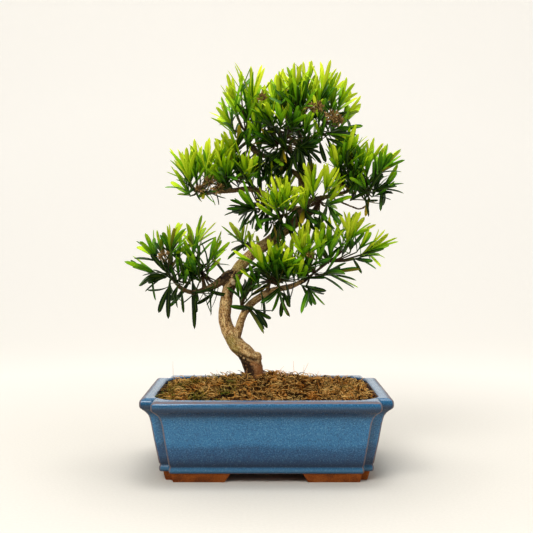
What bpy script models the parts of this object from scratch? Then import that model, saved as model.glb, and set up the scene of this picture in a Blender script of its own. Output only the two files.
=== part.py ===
"""Buddhist pine bonsai in a glazed pot with indented corners.

Sizes are written in millimetres and turned into metres by MM. +Z is up, the front of the
tree looks along -Y, and the origin is on the ground under the middle of the pot.
"""
import math
import random

import bmesh
import bpy
from mathutils import Matrix, Vector, noise
from mathutils.bvhtree import BVHTree

MM = 0.001
GAP = 0.3
SEED = 11
GOLDEN_ANGLE = math.radians(137.5)
CUTTER_OVERRUN = 5.0
ROUND_OFF = 1e-4

# Pot, outside: half sizes at the lip, and how far the walls stand in at each height.
POT_HALF_LENGTH = 131.0
POT_HALF_WIDTH = 100.0
POT_TOP = 86.6
POT_UNDERSIDE = 9.2
NOTCH_AT_LIP = 14.5
NOTCH_AT_BASE = 11.0
POT_PROFILE = [
    (POT_UNDERSIDE, 21.2), (10.6, 19.8), (15.0, 19.6), (16.2, 20.7), (17.6, 19.3),
    (42.0, 14.3), (62.0, 10.8), (68.5, 8.8), (73.0, 5.2), (76.5, 0.8), (82.6, 0.0),
    (85.4, 1.6), (POT_TOP, 5.0),
]
EDGE_ROUNDING = 1.6

# Pot, inside: (height, wall and lip thickness from the lip's outer edge, corner radius).
CAVITY_FLOOR = 17.0
CAVITY_BEND = 62.0
CAVITY_PROFILE = [
    (CAVITY_FLOOR, 27.0, 26.0), (CAVITY_BEND, 19.0, 21.0), (80.0, 15.6, 18.0), (POT_TOP, 14.4, 17.0),
]
CAVITY_CORNER_STEPS = 4

# Feet: one corner, drawn for +X +Y, as (x, y) at the pot's underside and at the ground.
FOOT_TOP = [(107.5, 32), (107.5, 68), (98.5, 68), (98.5, 79), (37, 79), (37, 64), (90, 64), (90, 32)]
FOOT_GROUND = [
    (105, 38), (105, 66.5), (96.5, 66.5), (96.5, 77), (43, 77), (43, 65.5), (91.5, 65.5), (91.5, 38),
]
FOOT_SINK = 2.0

# Drainage.
DRAIN_X = 62.0
DRAIN_RADIUS = 9.0
DRAIN_SIDES = 16
SCREEN_SIZE = 30.0
SCREEN_THICKNESS = 1.2
SCREEN_CELLS = 3
SCREEN_BAR = 2.0

# Soil and moss.
STEM_HOLE_CENTRE = (-13.5, 0.0)
STEM_HOLE_RADIUS = 12.5
STEM_HOLE_FLOOR = 58.2
SOIL_EDGE = 77.0
SOIL_CROWN = 11.0
MOSS_EDGE = 82.5
MOSS_CROWN = 16.0
MOUND_CENTRE = (-1.5, 0.0)
MOUND_REACH = (62.0, 50.0)
MOSS_LUMP = 2.2
MOSS_LUMP_SIZE = 15.0
MOSS_FINE_LUMP = 1.1
MOSS_FINE_SIZE = 7.0
SIDE_PARTS = 5
SOIL_RINGS = (0, 0.35, 0.7, 1)
MOSS_RINGS = (0, 0.12, 0.36, 0.62, 0.84, 1)

# Wood: centre line points (x, y, z) with the radius at each.
TRUNK = [
    ((-13.5, 0, 58.5), 12.0), ((-13.5, 0, 90), 11.8), ((-13.5, 0, 101), 10.6), ((-16.5, 0, 113), 10.9),
    ((-23.5, 0, 124.5), 9.6), ((-33, 1, 134), 8.9), ((-41, 2, 147), 8.0), ((-46, 3, 160), 7.2),
    ((-46, 4, 172), 7.0), ((-44.5, 5, 183), 6.9), ((-41.5, 5, 196), 7.1), ((-36.5, 4, 207), 7.5),
    ((-31, 3, 218), 6.9), ((-22.5, 2, 228), 6.3), ((-12.5, 1, 237), 6.5), ((-0.5, 0, 245), 6.5),
    ((11.5, 0, 254.5), 6.2), ((24, 1, 263), 6.0), ((33.5, 2, 271), 6.0), ((41, 3, 281), 5.6),
    ((42.5, 4, 293), 5.0), ((39.5, 4, 309), 4.3), ((38.5, 3, 325), 3.9), ((38, 2, 339), 3.5),
    ((37, 1, 353), 3.0), ((36, 0, 367), 2.3),
]
KNOB = [((-18, 0, 114), 7.0), ((-11.5, -0.5, 119), 7.2), ((-7.6, -1, 120.5), 5.6), ((-5.4, -1, 121), 2.6)]
SECOND_STEM = [
    ((-36, 1, 137), 5.2), ((-31.5, 0, 148), 4.7), ((-28.5, -2, 159), 4.4), ((-24, -4, 170), 4.3),
    ((-17.5, -6, 179), 4.2), ((-8, -9, 186.5), 4.0), ((2, -12, 192.5), 3.8), ((12, -14, 196), 3.4),
    ((26, -16, 199), 3.0), ((37, -17, 204), 2.5), ((44, -17, 208), 2.1),
]
# Each limb ends at the seat of one spray.
LIMBS = {
    "lower_left_outer": [
        ((-37, 4, 204), 4.4), ((-48, 3, 203), 3.3), ((-60, 2, 197.5), 3.0), ((-70, 1, 194), 2.8),
        ((-82, 0, 192), 2.6), ((-91, -1, 194.5), 2.4), ((-98, -2, 200), 2.1), ((-103, -3, 206), 1.8)],
    "lower_left_inner": [((-69, 1, 194), 2.4), ((-70, 6, 202), 2.1), ((-71, 8, 211), 1.8)],
    "left_outer": [
        ((40, 3, 282), 4.6), ((27, 4, 284.5), 4.0), ((14, 4, 290), 3.8), ((-9, 5, 303.5), 3.4),
        ((-23, 5, 306), 3.1), ((-40, 5, 304), 2.8), ((-56, 4, 303), 2.4), ((-67, 3, 300.5), 2.0)],
    "left_inner": [((-39, 5, 304), 2.4), ((-42, 2, 311), 2.1), ((-44, 0, 318), 1.8)],
    "middle_left": [((6, 4, 294.5), 2.4), ((0, -4, 291), 2.1), ((-5, -10, 287), 1.8)],
    "middle_front": [((32, 2, 270), 2.6), ((26, -8, 273), 2.1), ((21, -14, 276), 1.8)],
    "middle_right": [
        ((41, 3, 279), 3.0), ((50, -3, 279.5), 2.6), ((56, -7, 284), 2.2), ((57.5, -8, 290), 1.8)],
    "right_outer": [
        ((42, 4, 290), 3.4), ((56, 10, 295.5), 2.9), ((74, 10, 299), 2.5), ((88, 7, 303), 2.2),
        ((97, 4, 307), 1.8)],
    "right_inner": [((73, 10, 299), 2.2), ((77, 5, 307), 2.0), ((80, 2, 314), 1.8)],
    "crown_right": [((37, 1, 352), 2.7), ((47, 2, 360), 2.3), ((57, 3, 369), 1.8)],
    "crown_left": [
        ((37, 3, 320), 3.6), ((26, 1, 326.5), 2.9), ((16, 0, 331), 2.7), ((7, -1, 339.5), 2.5),
        ((-6, -1, 342.5), 2.4), ((-15, 0, 348), 2.1), ((-20, 0, 356), 1.8)],
    "crown_front": [((36, 2, 337), 2.9), ((28, -4, 346), 2.4), ((19, -9, 351), 2.1), ((14, -14, 356), 1.8)],
    "crown_back": [((36, 2, 352), 2.5), ((31, 13, 358), 2.1), ((27, 23, 364), 1.8)],
    "trunk_shoot": [((-12, 1, 237), 3.0), ((-16, 9, 240), 2.1), ((-20, 14, 243), 1.7)],
    "fork_shoot": [((-24, -4, 170), 2.6), ((-26, -8, 173), 1.9), ((-27, -11, 177), 1.6)],
    "lower_right_inner": [((1, -12, 192), 2.8), ((2, -18, 199), 2.1), ((4, -21, 206), 1.8)],
}
HANGING_TWIG = [
    ((73, 9, 298), 1.6), ((76, 0, 294), 1.2), ((82, -5, 291), 1.2), ((94, -6, 286), 1.2),
    ((102, -6, 283.5), 1.1), ((109, -5, 287), 1.1), ((111, -4, 291), 1.0),
]
TRUNK_SIDES = 10
STEM_SIDES = 8
LIMB_SIDES = 6
LIMB_TWIST = 0.3
TWIG_SIDES = 5

# Leaves.
LEAF_LENGTH = 36.0
LEAF_WIDTH = 5.6
LEAF_THICKNESS = 1.2
LEAF_ROOT_WIDTH = 0.9
LEAF_ROOT_THICKNESS = 0.7
LEAF_BELLY = 0.45
LEAF_ARCH = 0.05
FOLIAGE_REACH = (149.5, 90.0, 447.5)
RULED_LEAVES = 5
TWIG_RADIUS = 1.7
TWIG_NECK = 3.0
SHOOT_RADIUS = 1.3
SHOOT_TIP_RADIUS = 1.05
SHOOT_SIDES = 4
SHOOT_REACH = 0.62
SHOOT_RISE = 8.0
SHOOT_SPLAY = 0.4
SHOOT_MOST_SPLAY = 14.0
SECOND_SHOOT_SHIFT = 5.0
SECOND_SHOOT_DROP = 4.0

# How far a leaf keeps from other sprays and the wood, and, past a share of its length, from the
# other leaves and the stems of its own spray.
LEAF_CLEARANCE = 0.45
OWN_CLEARANCE = 0.05
OWN_START = 0.12
STEM_START = 0.3

# Leaves on a shoot: where the first and last stand on its stem, how far a drawn leaf's length
# may vary, how a ruled leaf leans at the foot and at the end, and what to try for a leaf that
# would cross another: other turns about the stem, less depth, a shorter leaf.
LEAF_FIRST = 0.1
LEAF_SPAN = 0.85
DRAWN_LENGTHS = (0.92, 1.12)
RULED_LENGTHS = (0.8, 1.0)
LEAST_DEPTH = 3.0
LESS_DEPTH = 0.6
SHORTER = 0.72
LEAN_AT_FOOT = math.radians(72)
LEAN_AT_END = math.radians(20)
OTHER_TURNS = (0, 0.35, -0.35, 0.8, -0.8)

# Edges turning by more than this stay sharp.
POT_SHARP = math.radians(35)
SHARP = math.radians(40)

# The front view that the shoots are drawn in: how far away and how high the eye is.
VIEW_DISTANCE = 1250.0
VIEW_HEIGHT = 244.7

# Sprays: "hubs" carry the twig on from its seat. Each shoot is its foot (x, y, z), the tips
# (x, z) of its leaves, both as drawn in the front view, and the step in Y to a second shoot
# in front of it or behind it, where there is one.
SPRAYS = {
    "crown_top": {
        "hubs": [(36, 0, 379)],
        "shoots": [
            ((14, -4, 396), [(11, 427), (6, 419), (16, 437), (24, 427), (22, 420)], 30),
            ((32, -18, 398), [(16, 436), (24, 438), (30, 442), (28, 433), (37, 436)], 0),
            ((40, 14, 401), [(40, 446), (46, 439), (49, 441), (51, 434)], 0),
            ((34, -30, 386), [(20, 402), (38, 409), (46, 398)], 0),
        ],
    },
    "crown_left": {
        "hubs": [(-23, 0, 368)],
        "shoots": [
            ((-31, 12, 384), [(-46, 419), (-46, 411), (-39, 417), (-32, 413), (-43, 430)], -30),
            ((-14, -6, 390), [(-24, 446), (-31, 429), (-17, 440), (-10, 445), (0, 435), (-22, 420)], 34),
            ((-36, -10, 370), [(-60, 380), (-54, 387), (-49, 381), (-42, 388), (-34, 386)], 34),
        ],
    },
    "crown_right": {
        "hubs": [(63, 3, 380)],
        "shoots": [
            ((59, -16, 399), [(57, 442), (64, 447), (69, 443), (70, 429)], 34),
            ((65, 10, 397), [(71, 428), (78, 433), (80, 431), (82, 423)], 0),
            ((77, -14, 389), [(93, 422), (92, 415), (88, 408), (82, 414)], 0),
            ((82, 8, 381), [(100, 405), (96, 398), (103, 391), (98, 380)], 24),
            ((64, -22, 366), [(92, 360), (84, 352), (80, 370)], 0),
        ],
    },
    "crown_front": {
        "hubs": [],
        "shoots": [
            ((8, -24, 372), [(-5, 379), (-16, 360), (0, 395), (10, 402)], 0),
            ((22, -30, 370), [(2, 400), (28, 392), (44, 382), (40, 368)], 0),
        ],
    },
    "crown_back": {
        "hubs": [(22, 32, 371)],
        "shoots": [
            ((-6, 40, 380), [(-30, 396), (-20, 410), (-2, 416)], 0),
            ((22, 44, 388), [(14, 420), (28, 424), (36, 416)], 0),
            ((50, 40, 382), [(60, 414), (76, 404), (82, 390)], 0),
            ((24, 50, 366), [(2, 352), (48, 350), (30, 372)], 0),
        ],
    },
    "left_outer": {
        "hubs": [(-75, 3, 304)],
        "shoots": [
            ((-83, -12, 311), [(-108, 349), (-98, 350), (-95, 346), (-89, 352), (-85, 348), (-98, 319)], 34),
            ((-77, 8, 316), [(-79, 361), (-75, 358), (-79, 342)], 0),
            ((-68, -20, 315), [(-69, 357), (-63, 362), (-60, 351), (-55, 354)], 42),
            ((-84, -2, 298), [(-94, 296), (-78, 328), (-106, 312)], 0),
        ],
    },
    "left_inner": {
        "hubs": [(-45, -1, 324)],
        "shoots": [
            ((-50, -16, 326), [(-53, 359), (-50, 352), (-44, 350)], 36),
            ((-46, -22, 313), [(-66, 324), (-58, 330), (-52, 326), (-39, 335), (-33, 320)], 0),
            ((-34, 8, 342), [(-49, 364), (-47, 358), (-39, 364), (-32, 362), (-50, 352)], 0),
            ((-25, -14, 318), [(-16, 335), (-7, 328), (-26, 338)], 34),
        ],
    },
    "middle_left": {
        "hubs": [],
        "shoots": [
            ((-11, -18, 284), [(-40, 291), (-43, 281), (-32, 277), (-34, 270), (-31, 262)], 0),
            ((-9, -20, 280), [(-20, 269), (-18, 263), (-29, 301), (-23, 306), (-6, 262)], 0),
        ],
    },
    "middle_front": {
        "hubs": [],
        "shoots": [
            ((17, -23, 282), [(3, 319), (14, 320), (24, 310), (30, 311), (38, 307)], 0),
            ((11, -29, 279), [(-6, 299), (-4, 305), (34, 306), (20, 262)], 0),
        ],
    },
    "middle_right": {
        "hubs": [],
        "shoots": [
            ((51, -18, 296), [(45, 334), (50, 332), (60, 334), (42, 324)], 0),
            ((63, -22, 299), [(76, 327), (87, 320), (69, 311), (64, 324)], 0),
            ((64, -20, 287), [(72, 297), (86, 289), (79, 282), (76, 277)], 0),
        ],
    },
    "right_inner": {
        "hubs": [(82, 1, 320)],
        "shoots": [
            ((78, -14, 323), [(70, 350), (80, 353), (67, 334)], 0),
            ((86, -20, 328), [(84, 372), (91, 367), (97, 375)], 40),
            ((92, 10, 328), [(90, 370), (100, 366), (107, 363), (109, 357), (90, 340)], 0),
        ],
    },
    "right_outer": {
        "hubs": [(104, 3, 311)],
        "shoots": [
            ((103, -18, 310), [(100, 339), (98, 319), (88, 300)], 42),
            ((109, -6, 326), [(114, 358), (116, 352), (125, 352), (126, 348)], 0),
            ((121, 8, 319), [(126, 353), (132, 349), (136, 348), (143, 347), (146, 346), (148, 342)], -34),
            ((124, -4, 304), [(143, 323), (142, 317), (147, 314), (137, 294), (122, 287)], 0),
            ((114, 20, 306), [(126, 322), (134, 317), (108, 296)], 0),
        ],
    },
    "lower_left_outer": {
        "hubs": [(-108, -3, 214)],
        "shoots": [
            ((-120, -12, 224),
             [(-132, 257), (-128, 256), (-135, 248), (-149, 247), (-121, 249), (-119, 256)], 34),
            ((-108, 8, 234), [(-111, 258), (-105, 265), (-98, 264), (-91, 265), (-86, 265), (-98, 274)], -38),
            ((-119, -6, 211), [(-149, 226), (-146, 225), (-139, 204), (-127, 182)], 24),
            ((-106, -18, 206), [(-108, 163), (-99, 173), (-122, 190)], 0),
        ],
    },
    "lower_left_inner": {
        "hubs": [(-73, 9, 222)],
        "shoots": [
            ((-82, 12, 236),
             [(-82, 272), (-72, 275), (-84, 264), (-69, 264), (-55, 269), (-57, 260), (-92, 240)], 0),
            ((-65, -4, 224), [(-55, 246), (-52, 249), (-49, 243), (-45, 237), (-49, 226), (-46, 214)], 34),
            ((-82, 18, 212), [(-106, 173), (-81, 152), (-74, 178), (-69, 182)], 0),
        ],
    },
    "trunk_shoot": {
        "hubs": [],
        "shoots": [
            ((-24, 20, 243), [(-50, 263), (-42, 269), (-38, 254), (-31, 267), (-25, 269)], 0),
            ((-18, 26, 243), [(-20, 258), (-15, 257), (-9, 254), (-40, 239), (-44, 229)], 0),
        ],
    },
    "fork_shoot": {
        "hubs": [],
        "shoots": [
            ((-27, -18, 184), [(-33, 213), (-23, 207), (-13, 205), (-5, 201)], 0),
            ((-22, -20, 176), [(-3, 152), (2, 164), (-33, 175)], 0),
        ],
    },
    "lower_right_inner": {
        "hubs": [],
        "shoots": [
            ((10, -24, 213), [(7, 244), (-1, 236), (9, 235), (19, 236), (26, 236)], 0),
            ((0, -30, 212), [(-15, 243), (-37, 238), (-9, 244)], 0),
            ((14, -30, 200), [(18, 168), (8, 166), (1, 181), (32, 178)], 0),
        ],
    },
    "lower_right_outer": {
        "hubs": [(52, -16, 214), (68, -12, 226)],
        "shoots": [
            ((40, -22, 228), [(33, 269), (42, 268), (40, 262), (51, 265), (46, 249), (30, 250)], 40),
            ((60, -6, 238), [(69, 263), (68, 252), (56, 269), (97, 238)], 0),
            ((88, -14, 242),
             [(89, 280), (91, 282), (101, 283), (110, 274), (112, 265), (123, 267), (78, 276)], 34),
            ((104, -2, 233), [(126, 262), (125, 249), (144, 252), (137, 235), (121, 219), (118, 227)], 30),
            ((62, -28, 212), [(89, 218), (87, 208), (99, 198)], 44),
            ((44, -30, 200), [(53, 198), (60, 188), (48, 180), (56, 175), (37, 173)], 0),
        ],
    },
}


def from_view(x, y, z):
    """The real place of a point drawn in the front view, at a depth."""
    spread = 1 + y / VIEW_DISTANCE
    return Vector((x * spread, y, VIEW_HEIGHT + (z - VIEW_HEIGHT) * spread))


def material(name, colour, roughness):
    """One plain Principled material."""
    made = bpy.data.materials.new(name)
    made.use_nodes = True
    shader = made.node_tree.nodes["Principled BSDF"]
    shader.inputs["Base Color"].default_value = (*colour, 1.0)
    shader.inputs["Roughness"].default_value = roughness
    return made


def skin(points, low, high, count):
    """Triangles between two rings of points, each quad split along its shorter diagonal."""
    faces = []
    for i in range(count):
        j = (i + 1) % count
        a, b, c, d = low + i, low + j, high + j, high + i
        if (points[a] - points[c]).length < (points[b] - points[d]).length - ROUND_OFF:
            faces += [(a, b, c), (a, c, d)]
        else:
            faces += [(a, b, d), (b, c, d)]
    return faces


def closed_loft(rings):
    """Vertices and faces of a body through rings of equal length, with both ends closed."""
    count = len(rings[0])
    points = [point for ring in rings for point in ring]
    faces = [tuple(reversed(range(count)))]
    for level in range(len(rings) - 1):
        faces += skin(points, level * count, (level + 1) * count, count)
    faces.append(tuple(range(len(points) - count, len(points))))
    return points, faces


def tube(path, sides, twist=0.0):
    """A body of round section along (point, radius) pairs, with flat ends."""
    centres = [Vector(point) for point, _ in path]
    side = None
    rings = []
    for i, (_, radius) in enumerate(path):
        ahead = centres[min(i + 1, len(centres) - 1)] - centres[max(i - 1, 0)]
        ahead.normalize()
        if side is None:
            side = ahead.orthogonal().normalized()
        side = (side - ahead * side.dot(ahead)).normalized()
        other = ahead.cross(side)
        turn = [twist + 2 * math.pi * k / sides for k in range(sides)]
        rings.append([centres[i] + (side * math.cos(a) + other * math.sin(a)) * radius for a in turn])
    return closed_loft(rings)


def add_object(name, shape, look=None, smooth=True):
    """An object from millimetre points and faces, with its faces turned outwards."""
    points, faces = shape
    mesh = bpy.data.meshes.new(name)
    mesh.from_pydata([Vector(point) * MM for point in points], [], faces)
    made = bpy.data.objects.new(name, mesh)
    bpy.context.scene.collection.objects.link(made)
    turn_faces_out(mesh)
    if look:
        mesh.materials.append(look)
    if smooth:
        mesh.shade_smooth()
        mesh.set_sharp_from_angle(angle=SHARP)
    return made


def turn_faces_out(mesh):
    """Turn all faces of a closed mesh outwards."""
    work = bmesh.new()
    work.from_mesh(mesh)
    bmesh.ops.recalc_face_normals(work, faces=work.faces)
    work.to_mesh(mesh)
    work.free()


def combine(base, tools, operation, solver):
    """Join the tools to the base, or cut them from it, in one applied Boolean."""
    group = bpy.data.collections.new(base.name + "_tools")
    bpy.context.scene.collection.children.link(group)
    for tool in tools:
        bpy.context.scene.collection.objects.unlink(tool)
        group.objects.link(tool)
    boolean = base.modifiers.new("combine", "BOOLEAN")
    boolean.operation = operation
    boolean.operand_type = "COLLECTION"
    boolean.collection = group
    boolean.solver = solver
    depsgraph = bpy.context.evaluated_depsgraph_get()
    result = bpy.data.meshes.new_from_object(base.evaluated_get(depsgraph))
    base.modifiers.clear()
    base.data = result
    for tool in tools:
        bpy.data.objects.remove(tool)
    bpy.data.collections.remove(group)


def keep_main_body(target):
    """Keep the largest joined body, and drop scraps and sealed hollows."""
    work = bmesh.new()
    work.from_mesh(target.data)
    bodies = []
    unseen = set(work.verts)
    while unseen:
        stack = [unseen.pop()]
        body = set(stack)
        while stack:
            for edge in stack.pop().link_edges:
                for vert in edge.verts:
                    if vert in unseen:
                        unseen.discard(vert)
                        body.add(vert)
                        stack.append(vert)
        bodies.append(body)
    bodies.sort(key=len)
    scraps = [vert for body in bodies[:-1] for vert in body]
    bmesh.ops.delete(work, geom=scraps, context="VERTS")
    work.to_mesh(target.data)
    work.free()


def notched_outline(inset, notch):
    """The pot's plan: a rectangle whose four corners are cut in square, edges eased."""
    length, width = POT_HALF_LENGTH - inset, POT_HALF_WIDTH - inset
    quarter = [(length, width - notch), (length - notch, width - notch), (length - notch, width)]
    corners = []
    for turn, (sx, sy) in enumerate([(1, 1), (-1, 1), (-1, -1), (1, -1)]):
        part = [(sx * x, sy * y) for x, y in quarter]
        corners += part if turn % 2 == 0 else part[::-1]
    eased = []
    for i, corner in enumerate(corners):
        here = Vector(corner)
        for other in (Vector(corners[i - 1]), Vector(corners[(i + 1) % len(corners)])):
            eased.append(here + (other - here).normalized() * EDGE_ROUNDING)
    return eased


def rounded_outline(half_length, half_width, radius, steps=CAVITY_CORNER_STEPS):
    """A rectangle with round corners, counter-clockwise from the +X side."""
    points = []
    for turn, (sx, sy) in enumerate([(1, 1), (-1, 1), (-1, -1), (1, -1)]):
        for k in range(steps + 1):
            angle = (turn + k / steps) * math.pi / 2
            points.append(Vector((sx * (half_length - radius) + radius * math.cos(angle),
                                  sy * (half_width - radius) + radius * math.sin(angle))))
    return points


def at_height(outline, z):
    """The outline as a ring of points at a height."""
    return [Vector((point.x, point.y, z)) for point in outline]


def cavity_outline(z, slack):
    """The pot's inner wall at a height, drawn in by the slack."""
    for low, high in zip(CAVITY_PROFILE, CAVITY_PROFILE[1:]):
        if z <= high[0]:
            break
    t = (z - low[0]) / (high[0] - low[0])
    inset = low[1] + (high[1] - low[1]) * t + slack
    radius = low[2] + (high[2] - low[2]) * t
    return rounded_outline(POT_HALF_LENGTH - inset, POT_HALF_WIDTH - inset, radius)


def make_pot(glaze):
    """The pot: body, four feet, the room for the soil and two drain holes."""
    rings = []
    for z, inset in POT_PROFILE:
        share = (z - POT_UNDERSIDE) / (POT_TOP - POT_UNDERSIDE)
        notch = NOTCH_AT_BASE + (NOTCH_AT_LIP - NOTCH_AT_BASE) * share
        rings.append(at_height(notched_outline(inset, notch), z))
    pot = add_object("pot", closed_loft(rings), glaze)
    feet = []
    for sx, sy in [(1, 1), (-1, 1), (-1, -1), (1, -1)]:
        ground = [Vector((sx * x, sy * y, 0)) for x, y in FOOT_GROUND]
        under = [Vector((sx * x, sy * y, POT_UNDERSIDE)) for x, y in FOOT_TOP]
        sunk = [Vector((point.x, point.y, POT_UNDERSIDE + FOOT_SINK)) for point in under]
        feet.append(add_object("foot", closed_loft([ground, under, sunk])))
    combine(pot, feet, "UNION", "EXACT")
    levels = [level[0] for level in CAVITY_PROFILE]
    rings = [at_height(cavity_outline(z, 0), z) for z in levels]
    rings.append(at_height(cavity_outline(POT_TOP, 0), POT_TOP + CUTTER_OVERRUN))
    cutters = [add_object("cavity", closed_loft(rings))]
    for x in (-DRAIN_X, DRAIN_X):
        path = [((x, 0, 0), DRAIN_RADIUS), ((x, 0, CAVITY_FLOOR + CUTTER_OVERRUN), DRAIN_RADIUS)]
        cutters.append(add_object("drain", tube(path, DRAIN_SIDES)))
    combine(pot, cutters, "DIFFERENCE", "EXACT")
    pot.data.shade_smooth()
    pot.data.set_sharp_from_angle(angle=POT_SHARP)
    return pot


def box(centre, size):
    """A box by its centre and full size."""
    x, y, z = (value / 2 for value in size)
    rings = [[Vector(centre) + Vector(corner) for corner in ((x, y, h), (-x, y, h), (-x, -y, h), (x, -y, h))]
             for h in (-z, z)]
    return closed_loft(rings)


def make_screen(name, x, plastic):
    """A square of drainage mesh lying on the pot's floor."""
    z = CAVITY_FLOOR + GAP + SCREEN_THICKNESS / 2
    screen = add_object(name, box((x, 0, z), (SCREEN_SIZE, SCREEN_SIZE, SCREEN_THICKNESS)), plastic, False)
    pitch = (SCREEN_SIZE - SCREEN_BAR) / SCREEN_CELLS
    cell = pitch - SCREEN_BAR
    middle = (SCREEN_CELLS - 1) / 2
    cutters = []
    for row in range(SCREEN_CELLS):
        for column in range(SCREEN_CELLS):
            centre = (x + (column - middle) * pitch, (row - middle) * pitch, z)
            cutters.append(add_object("cell", box(centre, (cell, cell, CUTTER_OVERRUN)), None, False))
    combine(screen, cutters, "DIFFERENCE", "EXACT")
    return screen


def mound(x, y):
    """0 at the pot's wall to 1 beside the foot of the tree."""
    across, deep = (x - MOUND_CENTRE[0]) / MOUND_REACH[0], (y - MOUND_CENTRE[1]) / MOUND_REACH[1]
    return math.exp(-across ** 2 - deep ** 2)


def moss_height(x, y):
    """How high the moss stands at a place."""
    lumps = MOSS_LUMP * noise.noise(Vector((x, y, 0.5)) / MOSS_LUMP_SIZE)
    lumps += MOSS_FINE_LUMP * noise.noise(Vector((x, y, 0.5)) / MOSS_FINE_SIZE)
    return MOSS_EDGE + MOSS_CROWN * mound(x, y) + lumps


def soil_height(x, y):
    """How high the soil stands under the moss at a place."""
    return SOIL_EDGE + SOIL_CROWN * mound(x, y)


def bed_rings(outline, shares, height):
    """Rings from the outline to the stem's hole, lifted by a height function."""
    centre = Vector(STEM_HOLE_CENTRE)
    rings = []
    for share in shares:
        ring = []
        for point in outline:
            rim = centre + (point - centre).normalized() * STEM_HOLE_RADIUS
            spot = point.lerp(rim, share)
            ring.append(Vector((spot.x, spot.y, height(spot.x, spot.y))))
        rings.append(ring)
    return rings


def finer(outline):
    """The outline with its straight sides cut in equal parts."""
    points = []
    for i, start in enumerate(outline):
        end = outline[(i + 1) % len(outline)]
        count = SIDE_PARTS if (end - start).length > MOSS_LUMP_SIZE else 1
        points += [start.lerp(end, k / count) for k in range(count)]
    return points


def bed_top(lift):
    """The rings of the soil's top, from the wall to the stem's hole, lifted."""
    outline = finer(cavity_outline(SOIL_EDGE, GAP))
    return bed_rings(outline, SOIL_RINGS, lambda x, y: soil_height(x, y) + lift)


def make_soil(earth):
    """The soil: it fills the pot, with room for the screens and the foot of the trunk."""
    rings = [at_height(finer(cavity_outline(z, GAP)), z) for z in (CAVITY_FLOOR + GAP, CAVITY_BEND)]
    rings += bed_top(0)
    rings.append([Vector((point.x, point.y, STEM_HOLE_FLOOR)) for point in rings[-1]])
    soil = add_object("soil", closed_loft(rings), earth)
    room = SCREEN_SIZE + 2 * GAP
    height = 2 * (SCREEN_THICKNESS + 2 * GAP)
    cutters = [add_object("recess", box((x, 0, CAVITY_FLOOR), (room, room, height)), None, False)
               for x in (-DRAIN_X, DRAIN_X)]
    combine(soil, cutters, "DIFFERENCE", "EXACT")
    return soil


def make_moss(look):
    """A lumpy carpet over the soil, with a plain hole round the trunk."""
    over = bed_rings(finer(cavity_outline(MOSS_EDGE, GAP)), MOSS_RINGS, moss_height)
    rings = bed_top(GAP)[::-1] + over
    count = len(rings[0])
    points = [point for ring in rings for point in ring]
    faces = []
    for level in range(len(rings)):
        faces += skin(points, level * count, (level + 1) % len(rings) * count, count)
    return add_object("moss", (points, faces), look)


def make_wood(bark):
    """The trunk, its second stem and all limbs, grown together as one body."""
    wood = add_object("wood", tube(TRUNK, TRUNK_SIDES), bark)
    shapes = [tube(KNOB, STEM_SIDES), tube(SECOND_STEM, STEM_SIDES), tube(HANGING_TWIG, TWIG_SIDES)]
    shapes += [tube(path, LIMB_SIDES, LIMB_TWIST) for path in LIMBS.values()]
    grown = [add_object("stem", shape) for shape in shapes]
    combine(wood, grown, "UNION", "MANIFOLD")
    keep_main_body(wood)
    wood.data.shade_smooth()
    return wood


def seat(name):
    """Where a spray's twig begins, a gap past its limb's end, with the way it points."""
    path = {"crown_top": TRUNK, "lower_right_outer": SECOND_STEM}.get(name) or LIMBS[name]
    end, before = Vector(path[-1][0]), Vector(path[-2][0])
    ahead = (end - before).normalized()
    return end + ahead * GAP, ahead


def blade(root, tip, side, grow=0.0, start=0.0):
    """A leaf with a flat face and a keel under it: narrow root, belly, pointed tip.

    The leaf is drawn out by grow all round, and start leaves out that share of it at the root.
    """
    along = tip - root
    length = along.length
    along = along / length
    side = (side - along * side.dot(along)).normalized()
    face = side.cross(along)
    if face.z < 0:
        side, face = -side, -face
    width = LEAF_WIDTH / 2 + grow
    foot = LEAF_ROOT_WIDTH / 2 + grow + start * (width - LEAF_ROOT_WIDTH / 2)
    thin, thick = LEAF_ROOT_THICKNESS / 2 + grow, LEAF_THICKNESS / 2 + grow
    first = root + along * length * start
    belly = root + (along * LEAF_BELLY + face * LEAF_ARCH) * length
    points = [first + side * foot + face * thin, first - side * foot + face * thin, first - face * thin,
              belly + side * width + face * thick, belly - side * width + face * thick, belly - face * thick,
              tip + along * grow]
    faces = [(2, 1, 0), (3, 4, 6), (4, 5, 6), (5, 3, 6)]
    faces += [(i, (i + 1) % 3, 3 + (i + 1) % 3, 3 + i) for i in range(3)]
    return points, faces


def tree_of(shape):
    """A search tree of a shape's faces."""
    return BVHTree.FromPolygons(*shape)


def touches(shape, obstacles):
    """Whether a shape's faces cross those of any search tree."""
    here = tree_of(shape)
    return any(here.overlap(other) for other in obstacles)


def with_shorter(root, tips):
    """The tips, and after them the tips of the same leaves made shorter."""
    return tips + [root + (tip - root) * SHORTER for tip in tips]


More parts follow.
